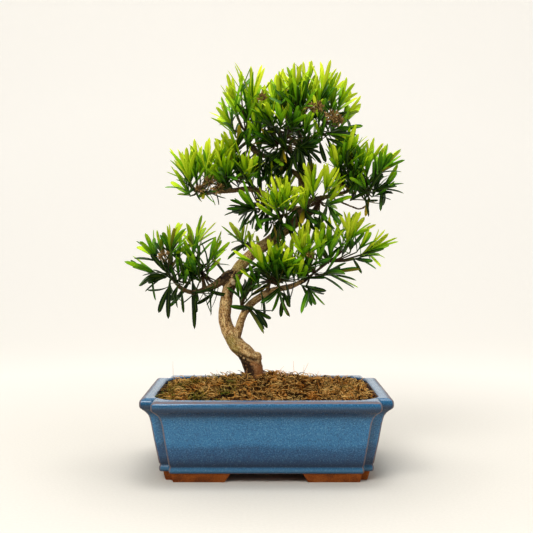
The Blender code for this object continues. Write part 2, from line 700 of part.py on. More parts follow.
class Shoot:
    """One leafy shoot: a stem from its foot along its axis, and the leaves on it."""

    def __init__(self, foot, tips, step, rng):
        self.drawn = step == 0
        self.rng = rng
        self.foot = from_view(*foot)
        if not self.drawn:
            shift = rng.uniform(-SECOND_SHOOT_SHIFT, SECOND_SHOOT_SHIFT)
            self.foot += Vector((shift, step, -SECOND_SHOOT_DROP))
        depth = self.foot.y
        self.tips = [from_view(x, depth, z) for x, z in tips]
        reach = [from_view(x, foot[1], z) - from_view(*foot) for x, z in tips]
        splay = max(-SHOOT_MOST_SPLAY, min(SHOOT_MOST_SPLAY, SHOOT_SPLAY * depth))
        self.axis = (sum(reach, Vector()) / len(reach) + Vector((0, splay, SHOOT_RISE))).normalized()
        self.stem = SHOOT_REACH * sum(span.length for span in reach) / len(reach)

    def root(self, share):
        """The point on the stem where a leaf stands."""
        return self.foot + self.axis * self.stem * (LEAF_FIRST + LEAF_SPAN * share)

    def stem_path(self, hubs):
        """The stem's centre line with radii: from the nearest hub over the foot to its end."""
        hub = min(hubs, key=lambda point: (point - self.foot).length)
        end = self.foot + self.axis * self.stem
        return [(hub, SHOOT_RADIUS), (self.foot, SHOOT_RADIUS), (end, SHOOT_TIP_RADIUS)]

    def drawn_leaves(self):
        """For each drawn leaf, its root and the tips it may take, best first."""
        for k, drawn in enumerate(self.tips):
            root = self.root(k / len(self.tips))
            flat = Vector((drawn.x, root.y, drawn.z)) - root
            wanted = LEAF_LENGTH * self.rng.uniform(*DRAWN_LENGTHS)
            depth = math.sqrt(max(wanted ** 2 - flat.length ** 2, LEAST_DEPTH ** 2)) * (1 if k % 2 else -1)
            steps = [depth, -depth, depth * LESS_DEPTH, -depth * LESS_DEPTH, 0.0]
            yield root, with_shorter(root, [root + flat + Vector((0, step, 0)) for step in steps])

    def ruled_leaves(self):
        """The same for a shoot that isn't drawn: leaves in a spiral, closing up to its end."""
        first = self.rng.uniform(0, 2 * math.pi)
        across = self.axis.orthogonal().normalized()
        for k in range(RULED_LEAVES):
            root = self.root(k / RULED_LEAVES)
            lean = LEAN_AT_FOOT + (LEAN_AT_END - LEAN_AT_FOOT) * k / (RULED_LEAVES - 1)
            length = LEAF_LENGTH * self.rng.uniform(*RULED_LENGTHS)
            tips = []
            for shift in OTHER_TURNS:
                out = Matrix.Rotation(first + k * GOLDEN_ANGLE + shift, 3, self.axis) @ across
                tips.append(root + (self.axis * math.cos(lean) + out * math.sin(lean)) * length)
            yield root, with_shorter(root, tips)

    def leaves(self, obstacles, stems, own):
        """Blades that stay clear of the obstacles and of the spray's own stems and blades."""
        made = []
        for root, tips in self.drawn_leaves() if self.drawn else self.ruled_leaves():
            for tip in tips:
                if any(abs(value) > most for value, most in zip(tip, FOLIAGE_REACH)):
                    continue
                side = (tip - root).cross(self.axis)
                if side.length < SHOOT_RADIUS:
                    side = self.axis.orthogonal()
                if touches(blade(root, tip, side, LEAF_CLEARANCE), obstacles):
                    continue
                if touches(blade(root, tip, side, OWN_CLEARANCE, OWN_START), own):
                    continue
                if touches(blade(root, tip, side, OWN_CLEARANCE, STEM_START), stems):
                    continue
                made.append(blade(root, tip, side))
                own.append(tree_of(made[-1]))
                break
        return made


class Spray:
    """One node of foliage: a twig from its seat, its shoots and their leaves."""

    def __init__(self, name, plan, rng):
        self.name = name
        start, ahead = seat(name)
        neck = start + ahead * TWIG_NECK
        hubs = [neck] + [Vector(point) for point in plan["hubs"]]
        route = [(start, TWIG_RADIUS)] + [(hub, TWIG_RADIUS) for hub in hubs]
        self.twig = tube(route, TWIG_SIDES)
        self.shoots = [Shoot(foot, tips, step, rng) for foot, tips, partner in plan["shoots"]
                       for step in ([0, partner] if partner else [0])]
        self.stems = [tube(shoot.stem_path(hubs), SHOOT_SIDES) for shoot in self.shoots]

    def skeleton(self):
        """Search trees of the twig and the stems."""
        return [tree_of(shape) for shape in [self.twig] + self.stems]

    def build(self, obstacles, look):
        """The spray as one object, its leaves clear of the obstacles."""
        made = add_object(self.name, self.twig, look)
        parts = [add_object("stem", shape) for shape in self.stems]
        own, stems = [], self.skeleton()
        for shoot in self.shoots:
            parts += [add_object("leaf", shape) for shape in shoot.leaves(obstacles, stems, own)]
        combine(made, parts, "UNION", "MANIFOLD")
        keep_main_body(made)
        made.data.shade_smooth()
        made.data.set_sharp_from_angle(angle=SHARP)
        return made


def mesh_tree(target):
    """A search tree of an object's faces, in millimetres."""
    points = [vert.co / MM for vert in target.data.vertices]
    return BVHTree.FromPolygons(points, [tuple(face.vertices) for face in target.data.polygons])


def make_foliage(wood, look):
    """All sprays, each clear of the wood, of the others' stems and of those made before it."""
    rng = random.Random(SEED)
    sprays = [Spray(name, plan, rng) for name, plan in SPRAYS.items()]
    skeletons = [spray.skeleton() for spray in sprays]
    done = []
    for i, spray in enumerate(sprays):
        others = [tree for k, trees in enumerate(skeletons) if k != i for tree in trees]
        made = spray.build([mesh_tree(wood)] + others + done, look)
        done.append(mesh_tree(made))


def main():
    """Build all nodes in an empty scene."""
    for old in list(bpy.data.objects):
        bpy.data.objects.remove(old)
    make_pot(material("blue_glaze", (0.055, 0.19, 0.32), 0.2))
    plastic = material("screen_plastic", (0.02, 0.02, 0.02), 0.6)
    make_screen("drain_screen_left", -DRAIN_X, plastic)
    make_screen("drain_screen_right", DRAIN_X, plastic)
    make_soil(material("soil", (0.06, 0.035, 0.02), 0.95))
    make_moss(material("moss", (0.3, 0.15, 0.04), 0.95))
    wood = make_wood(material("bark", (0.42, 0.27, 0.14), 0.85))
    make_foliage(wood, material("leaf", (0.12, 0.3, 0.03), 0.45))


main()
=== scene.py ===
"""Looks of a buddhist pine bonsai in a blue glazed pot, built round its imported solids.

Sizes are written in millimetres, as in the part's source, and turned into metres by MM.
"""

import logging
import math
import random
from dataclasses import dataclass, field, replace
from enum import Enum
from typing import Any, Callable, Iterable, Sequence

import bmesh
import bpy
import numpy as np
from bpy.types import Material, Mesh, Modifier, Node, NodeTree, Object
from bpy.types import NodeSocket as Socket
from mathutils import Matrix, Vector, noise
from mathutils.bvhtree import BVHTree
from mathutils.kdtree import KDTree


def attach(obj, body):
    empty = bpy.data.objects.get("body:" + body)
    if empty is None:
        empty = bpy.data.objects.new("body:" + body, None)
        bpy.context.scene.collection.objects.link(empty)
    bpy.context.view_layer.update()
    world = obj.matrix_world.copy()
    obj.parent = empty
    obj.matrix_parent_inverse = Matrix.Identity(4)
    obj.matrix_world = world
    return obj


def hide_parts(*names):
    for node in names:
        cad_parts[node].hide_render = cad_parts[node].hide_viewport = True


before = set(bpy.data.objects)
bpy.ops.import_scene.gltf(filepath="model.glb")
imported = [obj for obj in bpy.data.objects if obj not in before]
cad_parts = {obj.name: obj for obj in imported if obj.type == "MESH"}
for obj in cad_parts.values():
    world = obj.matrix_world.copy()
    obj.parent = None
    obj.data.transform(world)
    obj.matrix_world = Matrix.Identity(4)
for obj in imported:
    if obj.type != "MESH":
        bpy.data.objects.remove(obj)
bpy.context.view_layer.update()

LOG = logging.getLogger("bonsai")
BODY = "root"
MM = 0.001
SEED = 11
GOLDEN_ANGLE = math.radians(137.5)

Point = tuple[float, float, float]
Rows = tuple[tuple[float, ...], ...]
Path = Sequence[tuple[float, float, float, float]]
Curve = list[tuple[Vector, float]]
Plan = list[tuple[float, float]]
Skin = tuple[list[Vector], list[tuple[int, ...]]]


class Slot(Enum):
    """The record's material slots, one passed with each piece."""

    GLAZE = "glaze"
    MOSS = "moss"
    BARK = "bark"
    LEAF = "leaf"


# The tree, as in the part's source: points (x, y, z, radius) on each stem's centre line.
TRUNK = (
    (-13.5, 0, 58.5, 12.0), (-13.5, 0, 90, 11.8), (-13.5, 0, 101, 10.6), (-16.5, 0, 113, 10.9),
    (-23.5, 0, 124.5, 9.6), (-33, 1, 134, 8.9), (-41, 2, 147, 8.0), (-46, 3, 160, 7.2), (-46, 4, 172, 7.0),
    (-44.5, 5, 183, 6.9), (-41.5, 5, 196, 7.1), (-36.5, 4, 207, 7.5), (-31, 3, 218, 6.9),
    (-22.5, 2, 228, 6.3), (-12.5, 1, 237, 6.5), (-0.5, 0, 245, 6.5), (11.5, 0, 254.5, 6.2), (24, 1, 263, 6.0),
    (33.5, 2, 271, 6.0), (41, 3, 281, 5.6), (42.5, 4, 293, 5.0), (39.5, 4, 309, 4.3), (38.5, 3, 325, 3.9),
    (38, 2, 339, 3.5), (37, 1, 353, 3.0), (36, 0, 367, 2.3))
KNOB = (
    (-18, 0, 114, 7.0), (-11.5, -0.5, 119, 7.2), (-7.6, -1, 120.5, 5.6), (-5.4, -1, 121, 2.6))
SECOND_STEM = (
    (-36, 1, 137, 5.2), (-31.5, 0, 148, 4.7), (-28.5, -2, 159, 4.4), (-24, -4, 170, 4.3),
    (-17.5, -6, 179, 4.2), (-8, -9, 186.5, 4.0), (2, -12, 192.5, 3.8), (12, -14, 196, 3.4),
    (26, -16, 199, 3.0), (37, -17, 204, 2.5), (44, -17, 208, 2.1))
LIMBS = {
    "lower_left_outer": (
        (-37, 4, 204, 4.4), (-48, 3, 203, 3.3), (-60, 2, 197.5, 3.0), (-70, 1, 194, 2.8), (-82, 0, 192, 2.6),
        (-91, -1, 194.5, 2.4), (-98, -2, 200, 2.1), (-103, -3, 206, 1.8)),
    "lower_left_inner": ((-69, 1, 194, 2.4), (-70, 6, 202, 2.1), (-71, 8, 211, 1.8)),
    "left_outer": (
        (40, 3, 282, 4.6), (27, 4, 284.5, 4.0), (14, 4, 290, 3.8), (-9, 5, 303.5, 3.4), (-23, 5, 306, 3.1),
        (-40, 5, 304, 2.8), (-56, 4, 303, 2.4), (-67, 3, 300.5, 2.0)),
    "left_inner": ((-39, 5, 304, 2.4), (-42, 2, 311, 2.1), (-44, 0, 318, 1.8)),
    "middle_left": ((6, 4, 294.5, 2.4), (0, -4, 291, 2.1), (-5, -10, 287, 1.8)),
    "middle_front": ((32, 2, 270, 2.6), (26, -8, 273, 2.1), (21, -14, 276, 1.8)),
    "middle_right": ((41, 3, 279, 3.0), (50, -3, 279.5, 2.6), (56, -7, 284, 2.2), (57.5, -8, 290, 1.8)),
    "right_outer": (
        (42, 4, 290, 3.4), (56, 10, 295.5, 2.9), (74, 10, 299, 2.5), (88, 7, 303, 2.2), (97, 4, 307, 1.8)),
    "right_inner": ((73, 10, 299, 2.2), (77, 5, 307, 2.0), (80, 2, 314, 1.8)),
    "crown_right": ((37, 1, 352, 2.7), (47, 2, 360, 2.3), (57, 3, 369, 1.8)),
    "crown_left": (
        (37, 3, 320, 3.6), (26, 1, 326.5, 2.9), (16, 0, 331, 2.7), (7, -1, 339.5, 2.5), (-6, -1, 342.5, 2.4),
        (-15, 0, 348, 2.1), (-20, 0, 356, 1.8)),
    "crown_front": ((36, 2, 337, 2.9), (28, -4, 346, 2.4), (19, -9, 351, 2.1), (14, -14, 356, 1.8)),
    "crown_back": ((36, 2, 352, 2.5), (31, 13, 358, 2.1), (27, 23, 364, 1.8)),
    "trunk_shoot": ((-12, 1, 237, 3.0), (-16, 9, 240, 2.1), (-20, 14, 243, 1.7)),
    "fork_shoot": ((-24, -4, 170, 2.6), (-26, -8, 173, 1.9), (-27, -11, 177, 1.6)),
    "lower_right_inner": ((1, -12, 192, 2.8), (2, -18, 199, 2.1), (4, -21, 206, 1.8)),
}
HANGING_TWIG = (
    (73, 9, 298, 1.6), (76, 0, 294, 1.2), (82, -5, 291, 1.2), (94, -6, 286, 1.2), (102, -6, 283.5, 1.1),
    (109, -5, 287, 1.1), (111, -4, 291, 1.0))

# Sprays, as in the part's source: the hubs that carry the twig on from its seat, then the shoots.
# Each shoot is its foot (x, y, z), the tips (x, z) of its leaves, both as drawn in the front view,
# and the step in Y to a second shoot in front of it or behind it, where there is one.
SPRAYS = {
    "crown_top": ([(36, 0, 379)], [
        ((14, -4, 396), [(11, 427), (6, 419), (16, 437), (24, 427), (22, 420)], 30),
        ((32, -18, 398), [(16, 436), (24, 438), (30, 442), (28, 433), (37, 436)], 0),
        ((40, 14, 401), [(40, 446), (46, 439), (49, 441), (51, 434)], 0),
        ((34, -30, 386), [(20, 402), (38, 409), (46, 398)], 0)]),
    "crown_left": ([(-23, 0, 368)], [
        ((-31, 12, 384), [(-46, 419), (-46, 411), (-39, 417), (-32, 413), (-43, 430)], -30),
        ((-14, -6, 390), [(-24, 446), (-31, 429), (-17, 440), (-10, 445), (0, 435), (-22, 420)], 34),
        ((-36, -10, 370), [(-60, 380), (-54, 387), (-49, 381), (-42, 388), (-34, 386)], 34)]),
    "crown_right": ([(63, 3, 380)], [
        ((59, -16, 399), [(57, 442), (64, 447), (69, 443), (70, 429)], 34),
        ((65, 10, 397), [(71, 428), (78, 433), (80, 431), (82, 423)], 0),
        ((77, -14, 389), [(93, 422), (92, 415), (88, 408), (82, 414)], 0),
        ((82, 8, 381), [(100, 405), (96, 398), (103, 391), (98, 380)], 24),
        ((64, -22, 366), [(92, 360), (84, 352), (80, 370)], 0)]),
    "crown_front": ([], [
        ((8, -24, 372), [(-5, 379), (-16, 360), (0, 395), (10, 402)], 0),
        ((22, -30, 370), [(2, 400), (28, 392), (44, 382), (40, 368)], 0)]),
    "crown_back": ([(22, 32, 371)], [
        ((-6, 40, 380), [(-30, 396), (-20, 410), (-2, 416)], 0),
        ((22, 44, 388), [(14, 420), (28, 424), (36, 416)], 0),
        ((50, 40, 382), [(60, 414), (76, 404), (82, 390)], 0),
        ((24, 50, 366), [(2, 352), (48, 350), (30, 372)], 0)]),
    "left_outer": ([(-75, 3, 304)], [
        ((-83, -12, 311), [(-108, 349), (-98, 350), (-95, 346), (-89, 352), (-85, 348), (-98, 319)], 34),
        ((-77, 8, 316), [(-79, 361), (-75, 358), (-79, 342)], 0),
        ((-68, -20, 315), [(-69, 357), (-63, 362), (-60, 351), (-55, 354)], 42),
        ((-84, -2, 298), [(-94, 296), (-78, 328), (-106, 312)], 0)]),
    "left_inner": ([(-45, -1, 324)], [
        ((-50, -16, 326), [(-53, 359), (-50, 352), (-44, 350)], 36),
        ((-46, -22, 313), [(-66, 324), (-58, 330), (-52, 326), (-39, 335), (-33, 320)], 0),
        ((-34, 8, 342), [(-49, 364), (-47, 358), (-39, 364), (-32, 362), (-50, 352)], 0),
        ((-25, -14, 318), [(-16, 335), (-7, 328), (-26, 338)], 34)]),
    "middle_left": ([], [
        ((-11, -18, 284), [(-40, 291), (-43, 281), (-32, 277), (-34, 270), (-31, 262)], 0),
        ((-9, -20, 280), [(-20, 269), (-18, 263), (-29, 301), (-23, 306), (-6, 262)], 0)]),
    "middle_front": ([], [
        ((17, -23, 282), [(3, 319), (14, 320), (24, 310), (30, 311), (38, 307)], 0),
        ((11, -29, 279), [(-6, 299), (-4, 305), (34, 306), (20, 262)], 0)]),
    "middle_right": ([], [
        ((51, -18, 296), [(45, 334), (50, 332), (60, 334), (42, 324)], 0),
        ((63, -22, 299), [(76, 327), (87, 320), (69, 311), (64, 324)], 0),
        ((64, -20, 287), [(72, 297), (86, 289), (79, 282), (76, 277)], 0)]),
    "right_inner": ([(82, 1, 320)], [
        ((78, -14, 323), [(70, 350), (80, 353), (67, 334)], 0),
        ((86, -20, 328), [(84, 372), (91, 367), (97, 375)], 40),
        ((92, 10, 328), [(90, 370), (100, 366), (107, 363), (109, 357), (90, 340)], 0)]),
    "right_outer": ([(104, 3, 311)], [
        ((103, -18, 310), [(100, 339), (98, 319), (88, 300)], 42),
        ((109, -6, 326), [(114, 358), (116, 352), (125, 352), (126, 348)], 0),
        ((121, 8, 319), [(126, 353), (132, 349), (136, 348), (143, 347), (146, 346), (148, 342)], -34),
        ((124, -4, 304), [(143, 323), (142, 317), (147, 314), (137, 294), (122, 287)], 0),
        ((114, 20, 306), [(126, 322), (134, 317), (108, 296)], 0)]),
    "lower_left_outer": ([(-108, -3, 214)], [
        ((-120, -12, 224), [(-132, 257), (-128, 256), (-135, 248), (-149, 247), (-121, 249),
         (-119, 256)], 34),
        ((-108, 8, 234), [(-111, 258), (-105, 265), (-98, 264), (-91, 265), (-86, 265), (-98, 274)], -38),
        ((-119, -6, 211), [(-149, 226), (-146, 225), (-139, 204), (-127, 182)], 24),
        ((-106, -18, 206), [(-108, 163), (-99, 173), (-122, 190)], 0)]),
    "lower_left_inner": ([(-73, 9, 222)], [
        ((-82, 12, 236), [(-82, 272), (-72, 275), (-84, 264), (-69, 264), (-55, 269), (-57, 260),
         (-92, 240)], 0),
        ((-65, -4, 224), [(-55, 246), (-52, 249), (-49, 243), (-45, 237), (-49, 226), (-46, 214)], 34),
        ((-82, 18, 212), [(-106, 173), (-81, 152), (-74, 178), (-69, 182)], 0)]),
    "trunk_shoot": ([], [
        ((-24, 20, 243), [(-50, 263), (-42, 269), (-38, 254), (-31, 267), (-25, 269)], 0),
        ((-18, 26, 243), [(-20, 258), (-15, 257), (-9, 254), (-40, 239), (-44, 229)], 0)]),
    "fork_shoot": ([], [
        ((-27, -18, 184), [(-33, 213), (-23, 207), (-13, 205), (-5, 201)], 0),
        ((-22, -20, 176), [(-3, 152), (2, 164), (-33, 175)], 0)]),
    "lower_right_inner": ([], [
        ((10, -24, 213), [(7, 244), (-1, 236), (9, 235), (19, 236), (26, 236)], 0),
        ((0, -30, 212), [(-15, 243), (-37, 238), (-9, 244)], 0),
        ((14, -30, 200), [(18, 168), (8, 166), (1, 181), (32, 178)], 0)]),
    "lower_right_outer": ([(52, -16, 214), (68, -12, 226)], [
        ((40, -22, 228), [(33, 269), (42, 268), (40, 262), (51, 265), (46, 249), (30, 250)], 40),
        ((60, -6, 238), [(69, 263), (68, 252), (56, 269), (97, 238)], 0),
        ((88, -14, 242), [(89, 280), (91, 282), (101, 283), (110, 274), (112, 265), (123, 267),
         (78, 276)], 34),
        ((104, -2, 233), [(126, 262), (125, 249), (144, 252), (137, 235), (121, 219), (118, 227)], 30),
        ((62, -28, 212), [(89, 218), (87, 208), (99, 198)], 44),
        ((44, -30, 200), [(53, 198), (60, 188), (48, 180), (56, 175), (37, 173)], 0)]),
}

# Shoots too small for the solids, which fill each spray: the foot (x, y, z) and the point (x, z)
# that the topmost leaves reach, both as drawn in the front view.
FILLERS = {
    "crown_top": [
        (8, -20, 374, -5, 416), (11, 10, 390, 6, 429), (26, -22, 390, 24, 427), (41, -26, 390, 37, 425),
        (37, 16, 394, 40, 436), (50, -14, 390, 52, 427), (24, 24, 381, 17, 421), (46, 30, 396, 48, 432),
        (46, -4, 422, 52, 440)],
    "crown_left": [
        (-22, -12, 376, -16, 416), (-18, 20, 372, -22, 412), (-16, -14, 359, -5, 390), (-11, 8, 368, -3, 412),
        (-21, -10, 348, -20, 368), (-8, -9, 346, -8, 312), (3, -8, 340, 7, 305), (-14, 8, 346, -20, 316),
        (-20, -6, 350, -32, 326), (8, 9, 338, 16, 306), (-4, -12, 350, 14, 334), (-34, -8, 346, -26, 366),
        (-28, -8, 410, -27, 433)],
    "crown_right": [
        (57, -26, 390, 61, 425), (70, -20, 390, 77, 421), (70, -28, 376, 77, 399), (57, -26, 376, 55, 403),
        (65, 26, 398, 68, 434), (76, -10, 368, 90, 372), (61, -20, 359, 61, 383), (58, -14, 362, 60, 340),
        (64, -18, 364, 78, 350)],
    "crown_front": [
        (-5, -14, 359, -14, 383), (2, -26, 370, -5, 403), (15, -34, 370, 19, 399), (28, -36, 366, 35, 390),
        (41, -34, 361, 46, 385), (11, -22, 352, -5, 363), (33, -28, 350, 50, 352), (22, -24, 348, 17, 359),
        (50, -24, 355, 57, 368), (37, -16, 346, 44, 359), (27, -14, 342, 18, 316), (12, -14, 348, 6, 320),
        (22, -10, 346, 25, 318), (4, -12, 346, -3, 324), (30, -16, 346, 27, 324), (44, -16, 352, 52, 332),
        (20, -18, 356, 12, 334), (34, -20, 358, 38, 336), (-2, -14, 352, -12, 334)],
    "crown_back": [
        (-5, 34, 372, -16, 407), (26, 40, 381, 26, 421), (55, 40, 379, 59, 418), (37, 40, 359, 37, 383),
        (10, 34, 357, 2, 377), (70, 34, 366, 81, 385), (-7, 20, 346, -9, 366)],
    "left_outer": [
        (-77, -14, 311, -82, 348), (-84, 0, 308, -97, 337), (-73, 12, 313, -75, 350),
        (-66, -24, 315, -64, 348), (-77, -22, 308, -77, 293), (-62, -4, 311, -55, 346),
        (-66, -10, 304, -58, 297), (-72, 6, 306, -64, 313), (-58, -12, 308, -50, 296),
        (-70, -14, 308, -66, 294)],
    "left_inner": [
        (-47, -18, 306, -58, 326), (-44, -22, 308, -38, 335), (-49, 14, 317, -51, 352),
        (-40, 4, 319, -33, 348), (-33, -6, 324, -40, 348), (-29, -10, 317, -22, 341),
        (-31, 10, 308, -25, 330), (-22, -16, 313, -17, 337), (-38, -8, 308, -49, 308)],
    "middle_left": [
        (-5, 10, 297, -11, 319), (6, 14, 302, 0, 333), (17, 16, 304, 15, 328), (-11, 6, 304, -5, 326),
        (2, -18, 286, -11, 289), (-14, -8, 304, -20, 338), (2, -6, 302, 7, 340), (12, -6, 300, 26, 330),
        (22, 12, 298, 30, 334), (-18, 8, 306, -28, 334), (-2, -14, 284, -6, 269), (2, -16, 284, -1, 264)],
    "middle_front": [
        (19, -30, 278, 6, 304), (22, -32, 280, 24, 308), (26, -28, 280, 35, 304), (15, -28, 273, -5, 280),
        (30, -20, 284, 35, 297), (6, -22, 278, -3, 293), (19, 4, 289, 17, 317), (11, -20, 269, 0, 264),
        (8, -16, 276, -4, 254), (16, -22, 276, 12, 252), (22, -18, 274, 20, 254), (8, -20, 272, 0, 254),
        (16, -20, 276, 8, 256), (22, -22, 278, 27, 259), (12, -18, 270, 24, 251)],
    "middle_right": [
        (52, -20, 293, 50, 326), (48, -14, 297, 46, 330), (66, -14, 297, 81, 315), (44, 10, 308, 44, 333),
        (45, -16, 285, 41, 312), (44, -18, 277, 35, 301), (52, -14, 276, 60, 257), (44, -16, 270, 44, 251),
        (58, -18, 282, 66, 263), (34, -18, 284, 28, 265), (40, -18, 286, 48, 269), (66, -16, 290, 77, 272)],
    "right_inner": [
        (81, -16, 324, 74, 352), (90, -20, 322, 88, 348), (88, -4, 337, 83, 366), (94, 12, 328, 94, 359),
        (96, -22, 317, 99, 341), (90, -14, 306, 92, 328), (81, -8, 308, 81, 330), (87, 4, 302, 99, 315),
        (103, -16, 324, 105, 352), (104, -14, 306, 114, 288), (98, -18, 300, 92, 318)],
    "right_outer": [
        (110, -22, 317, 110, 346), (118, -14, 317, 125, 346), (125, -18, 322, 138, 344),
        (110, -24, 304, 99, 319), (114, -20, 304, 123, 326), (116, -16, 302, 134, 313),
        (103, 10, 302, 110, 326), (94, -6, 300, 88, 311), (92, -10, 293, 105, 297), (108, -8, 294, 116, 280),
        (112, -8, 298, 119, 284), (112, -14, 300, 112, 322), (118, -10, 300, 124, 318),
        (106, -10, 298, 103, 316), (116, -14, 297, 130, 302), (108, -16, 294, 112, 282)],
    "lower_left_outer": [
        (-117, -16, 223, -130, 253), (-110, -12, 225, -117, 253), (-104, -20, 229, -106, 262),
        (-97, -14, 225, -93, 258), (-108, -20, 212, -121, 225), (-97, -14, 201, -104, 176),
        (-93, -10, 198, -95, 179), (-88, -16, 203, -97, 223), (-95, 6, 216, -97, 245),
        (-104, 14, 216, -110, 242), (-84, -6, 201, -88, 225), (-104, -14, 206, -112, 222),
        (-98, -10, 202, -92, 220), (-92, -16, 200, -84, 216), (-108, -6, 210, -118, 206),
        (-96, -18, 200, -106, 210)],
    "lower_left_inner": [
        (-80, -14, 225, -86, 249), (-75, -6, 229, -77, 262), (-73, -18, 220, -86, 238),
        (-64, -16, 220, -58, 245), (-66, -8, 209, -62, 231), (-73, -12, 203, -77, 225),
        (-77, -4, 196, -80, 172), (-69, 10, 194, -69, 181), (-58, 14, 192, -66, 187), (-60, 4, 194, -52, 180),
        (-66, -4, 196, -57, 178), (-54, 2, 200, -52, 184), (-58, -4, 200, -64, 186), (-54, -6, 204, -58, 188),
        (-80, -12, 212, -84, 229), (-84, -10, 204, -80, 217)],
    "trunk_shoot": [(-25, 22, 238, -31, 262)],
    "fork_shoot": [
        (-22, -18, 183, -27, 209), (-18, -16, 187, -9, 201), (-16, -20, 176, -5, 165),
        (-29, -8, 183, -33, 198), (-26, -6, 180, -31, 197), (-24, 2, 184, -34, 191), (-6, -16, 226, -18, 217),
        (-4, -14, 220, -16, 209)],
    "lower_right_inner": [
        (4, -28, 209, -5, 234), (11, -30, 212, 11, 236), (2, -26, 201, -16, 198), (15, -30, 214, 24, 231),
        (19, -26, 205, 28, 223), (19, -22, 194, 22, 174), (-5, 8, 225, -9, 247), (26, 4, 216, 26, 249),
        (11, 12, 225, 13, 253), (24, -20, 205, 16, 226), (30, -24, 204, 34, 228), (18, -10, 202, 8, 220),
        (36, -12, 206, 28, 230), (10, -16, 200, -4, 212), (20, -26, 206, 26, 190), (30, -24, 208, 36, 192),
        (-6, -24, 192, 0, 176), (14, -34, 202, 5, 219), (24, -34, 204, 20, 225), (34, -30, 206, 40, 224),
        (-8, -30, 200, -22, 212)],
    "lower_right_outer": [
        (39, -30, 225, 35, 260), (46, -34, 229, 48, 260), (55, -28, 231, 61, 262), (44, -36, 218, 61, 231),
        (59, -30, 220, 57, 242), (68, -28, 225, 74, 249), (70, -18, 231, 77, 264), (83, -12, 231, 88, 258),
        (92, -18, 236, 99, 264), (99, -14, 236, 114, 258), (94, -14, 229, 116, 229), (37, -30, 209, 48, 225),
        (37, -28, 201, 52, 194), (30, -10, 225, 26, 253), (48, 8, 238, 50, 269), (72, 12, 238, 72, 271),
        (44, -18, 208, 40, 232), (38, -26, 206, 56, 218)],
}

# Clusters of dried bud scales: the middle (x, y, z) and the reach, as drawn in the front view.
BUDS = {
    "crown_right": [(48, -46, 393, 10), (57, -44, 395, 8), (72, -42, 385, 10), (79, -40, 381, 9)],
    "crown_left": [(-4, -34, 406, 7)],
    "left_inner": [(-62, -32, 313, 10), (-53, -30, 306, 9), (-73, -26, 305, 8)],
    "lower_left_outer": [(-113, -32, 232, 9)],
    "lower_right_outer": [(48, -40, 233, 5)],
}


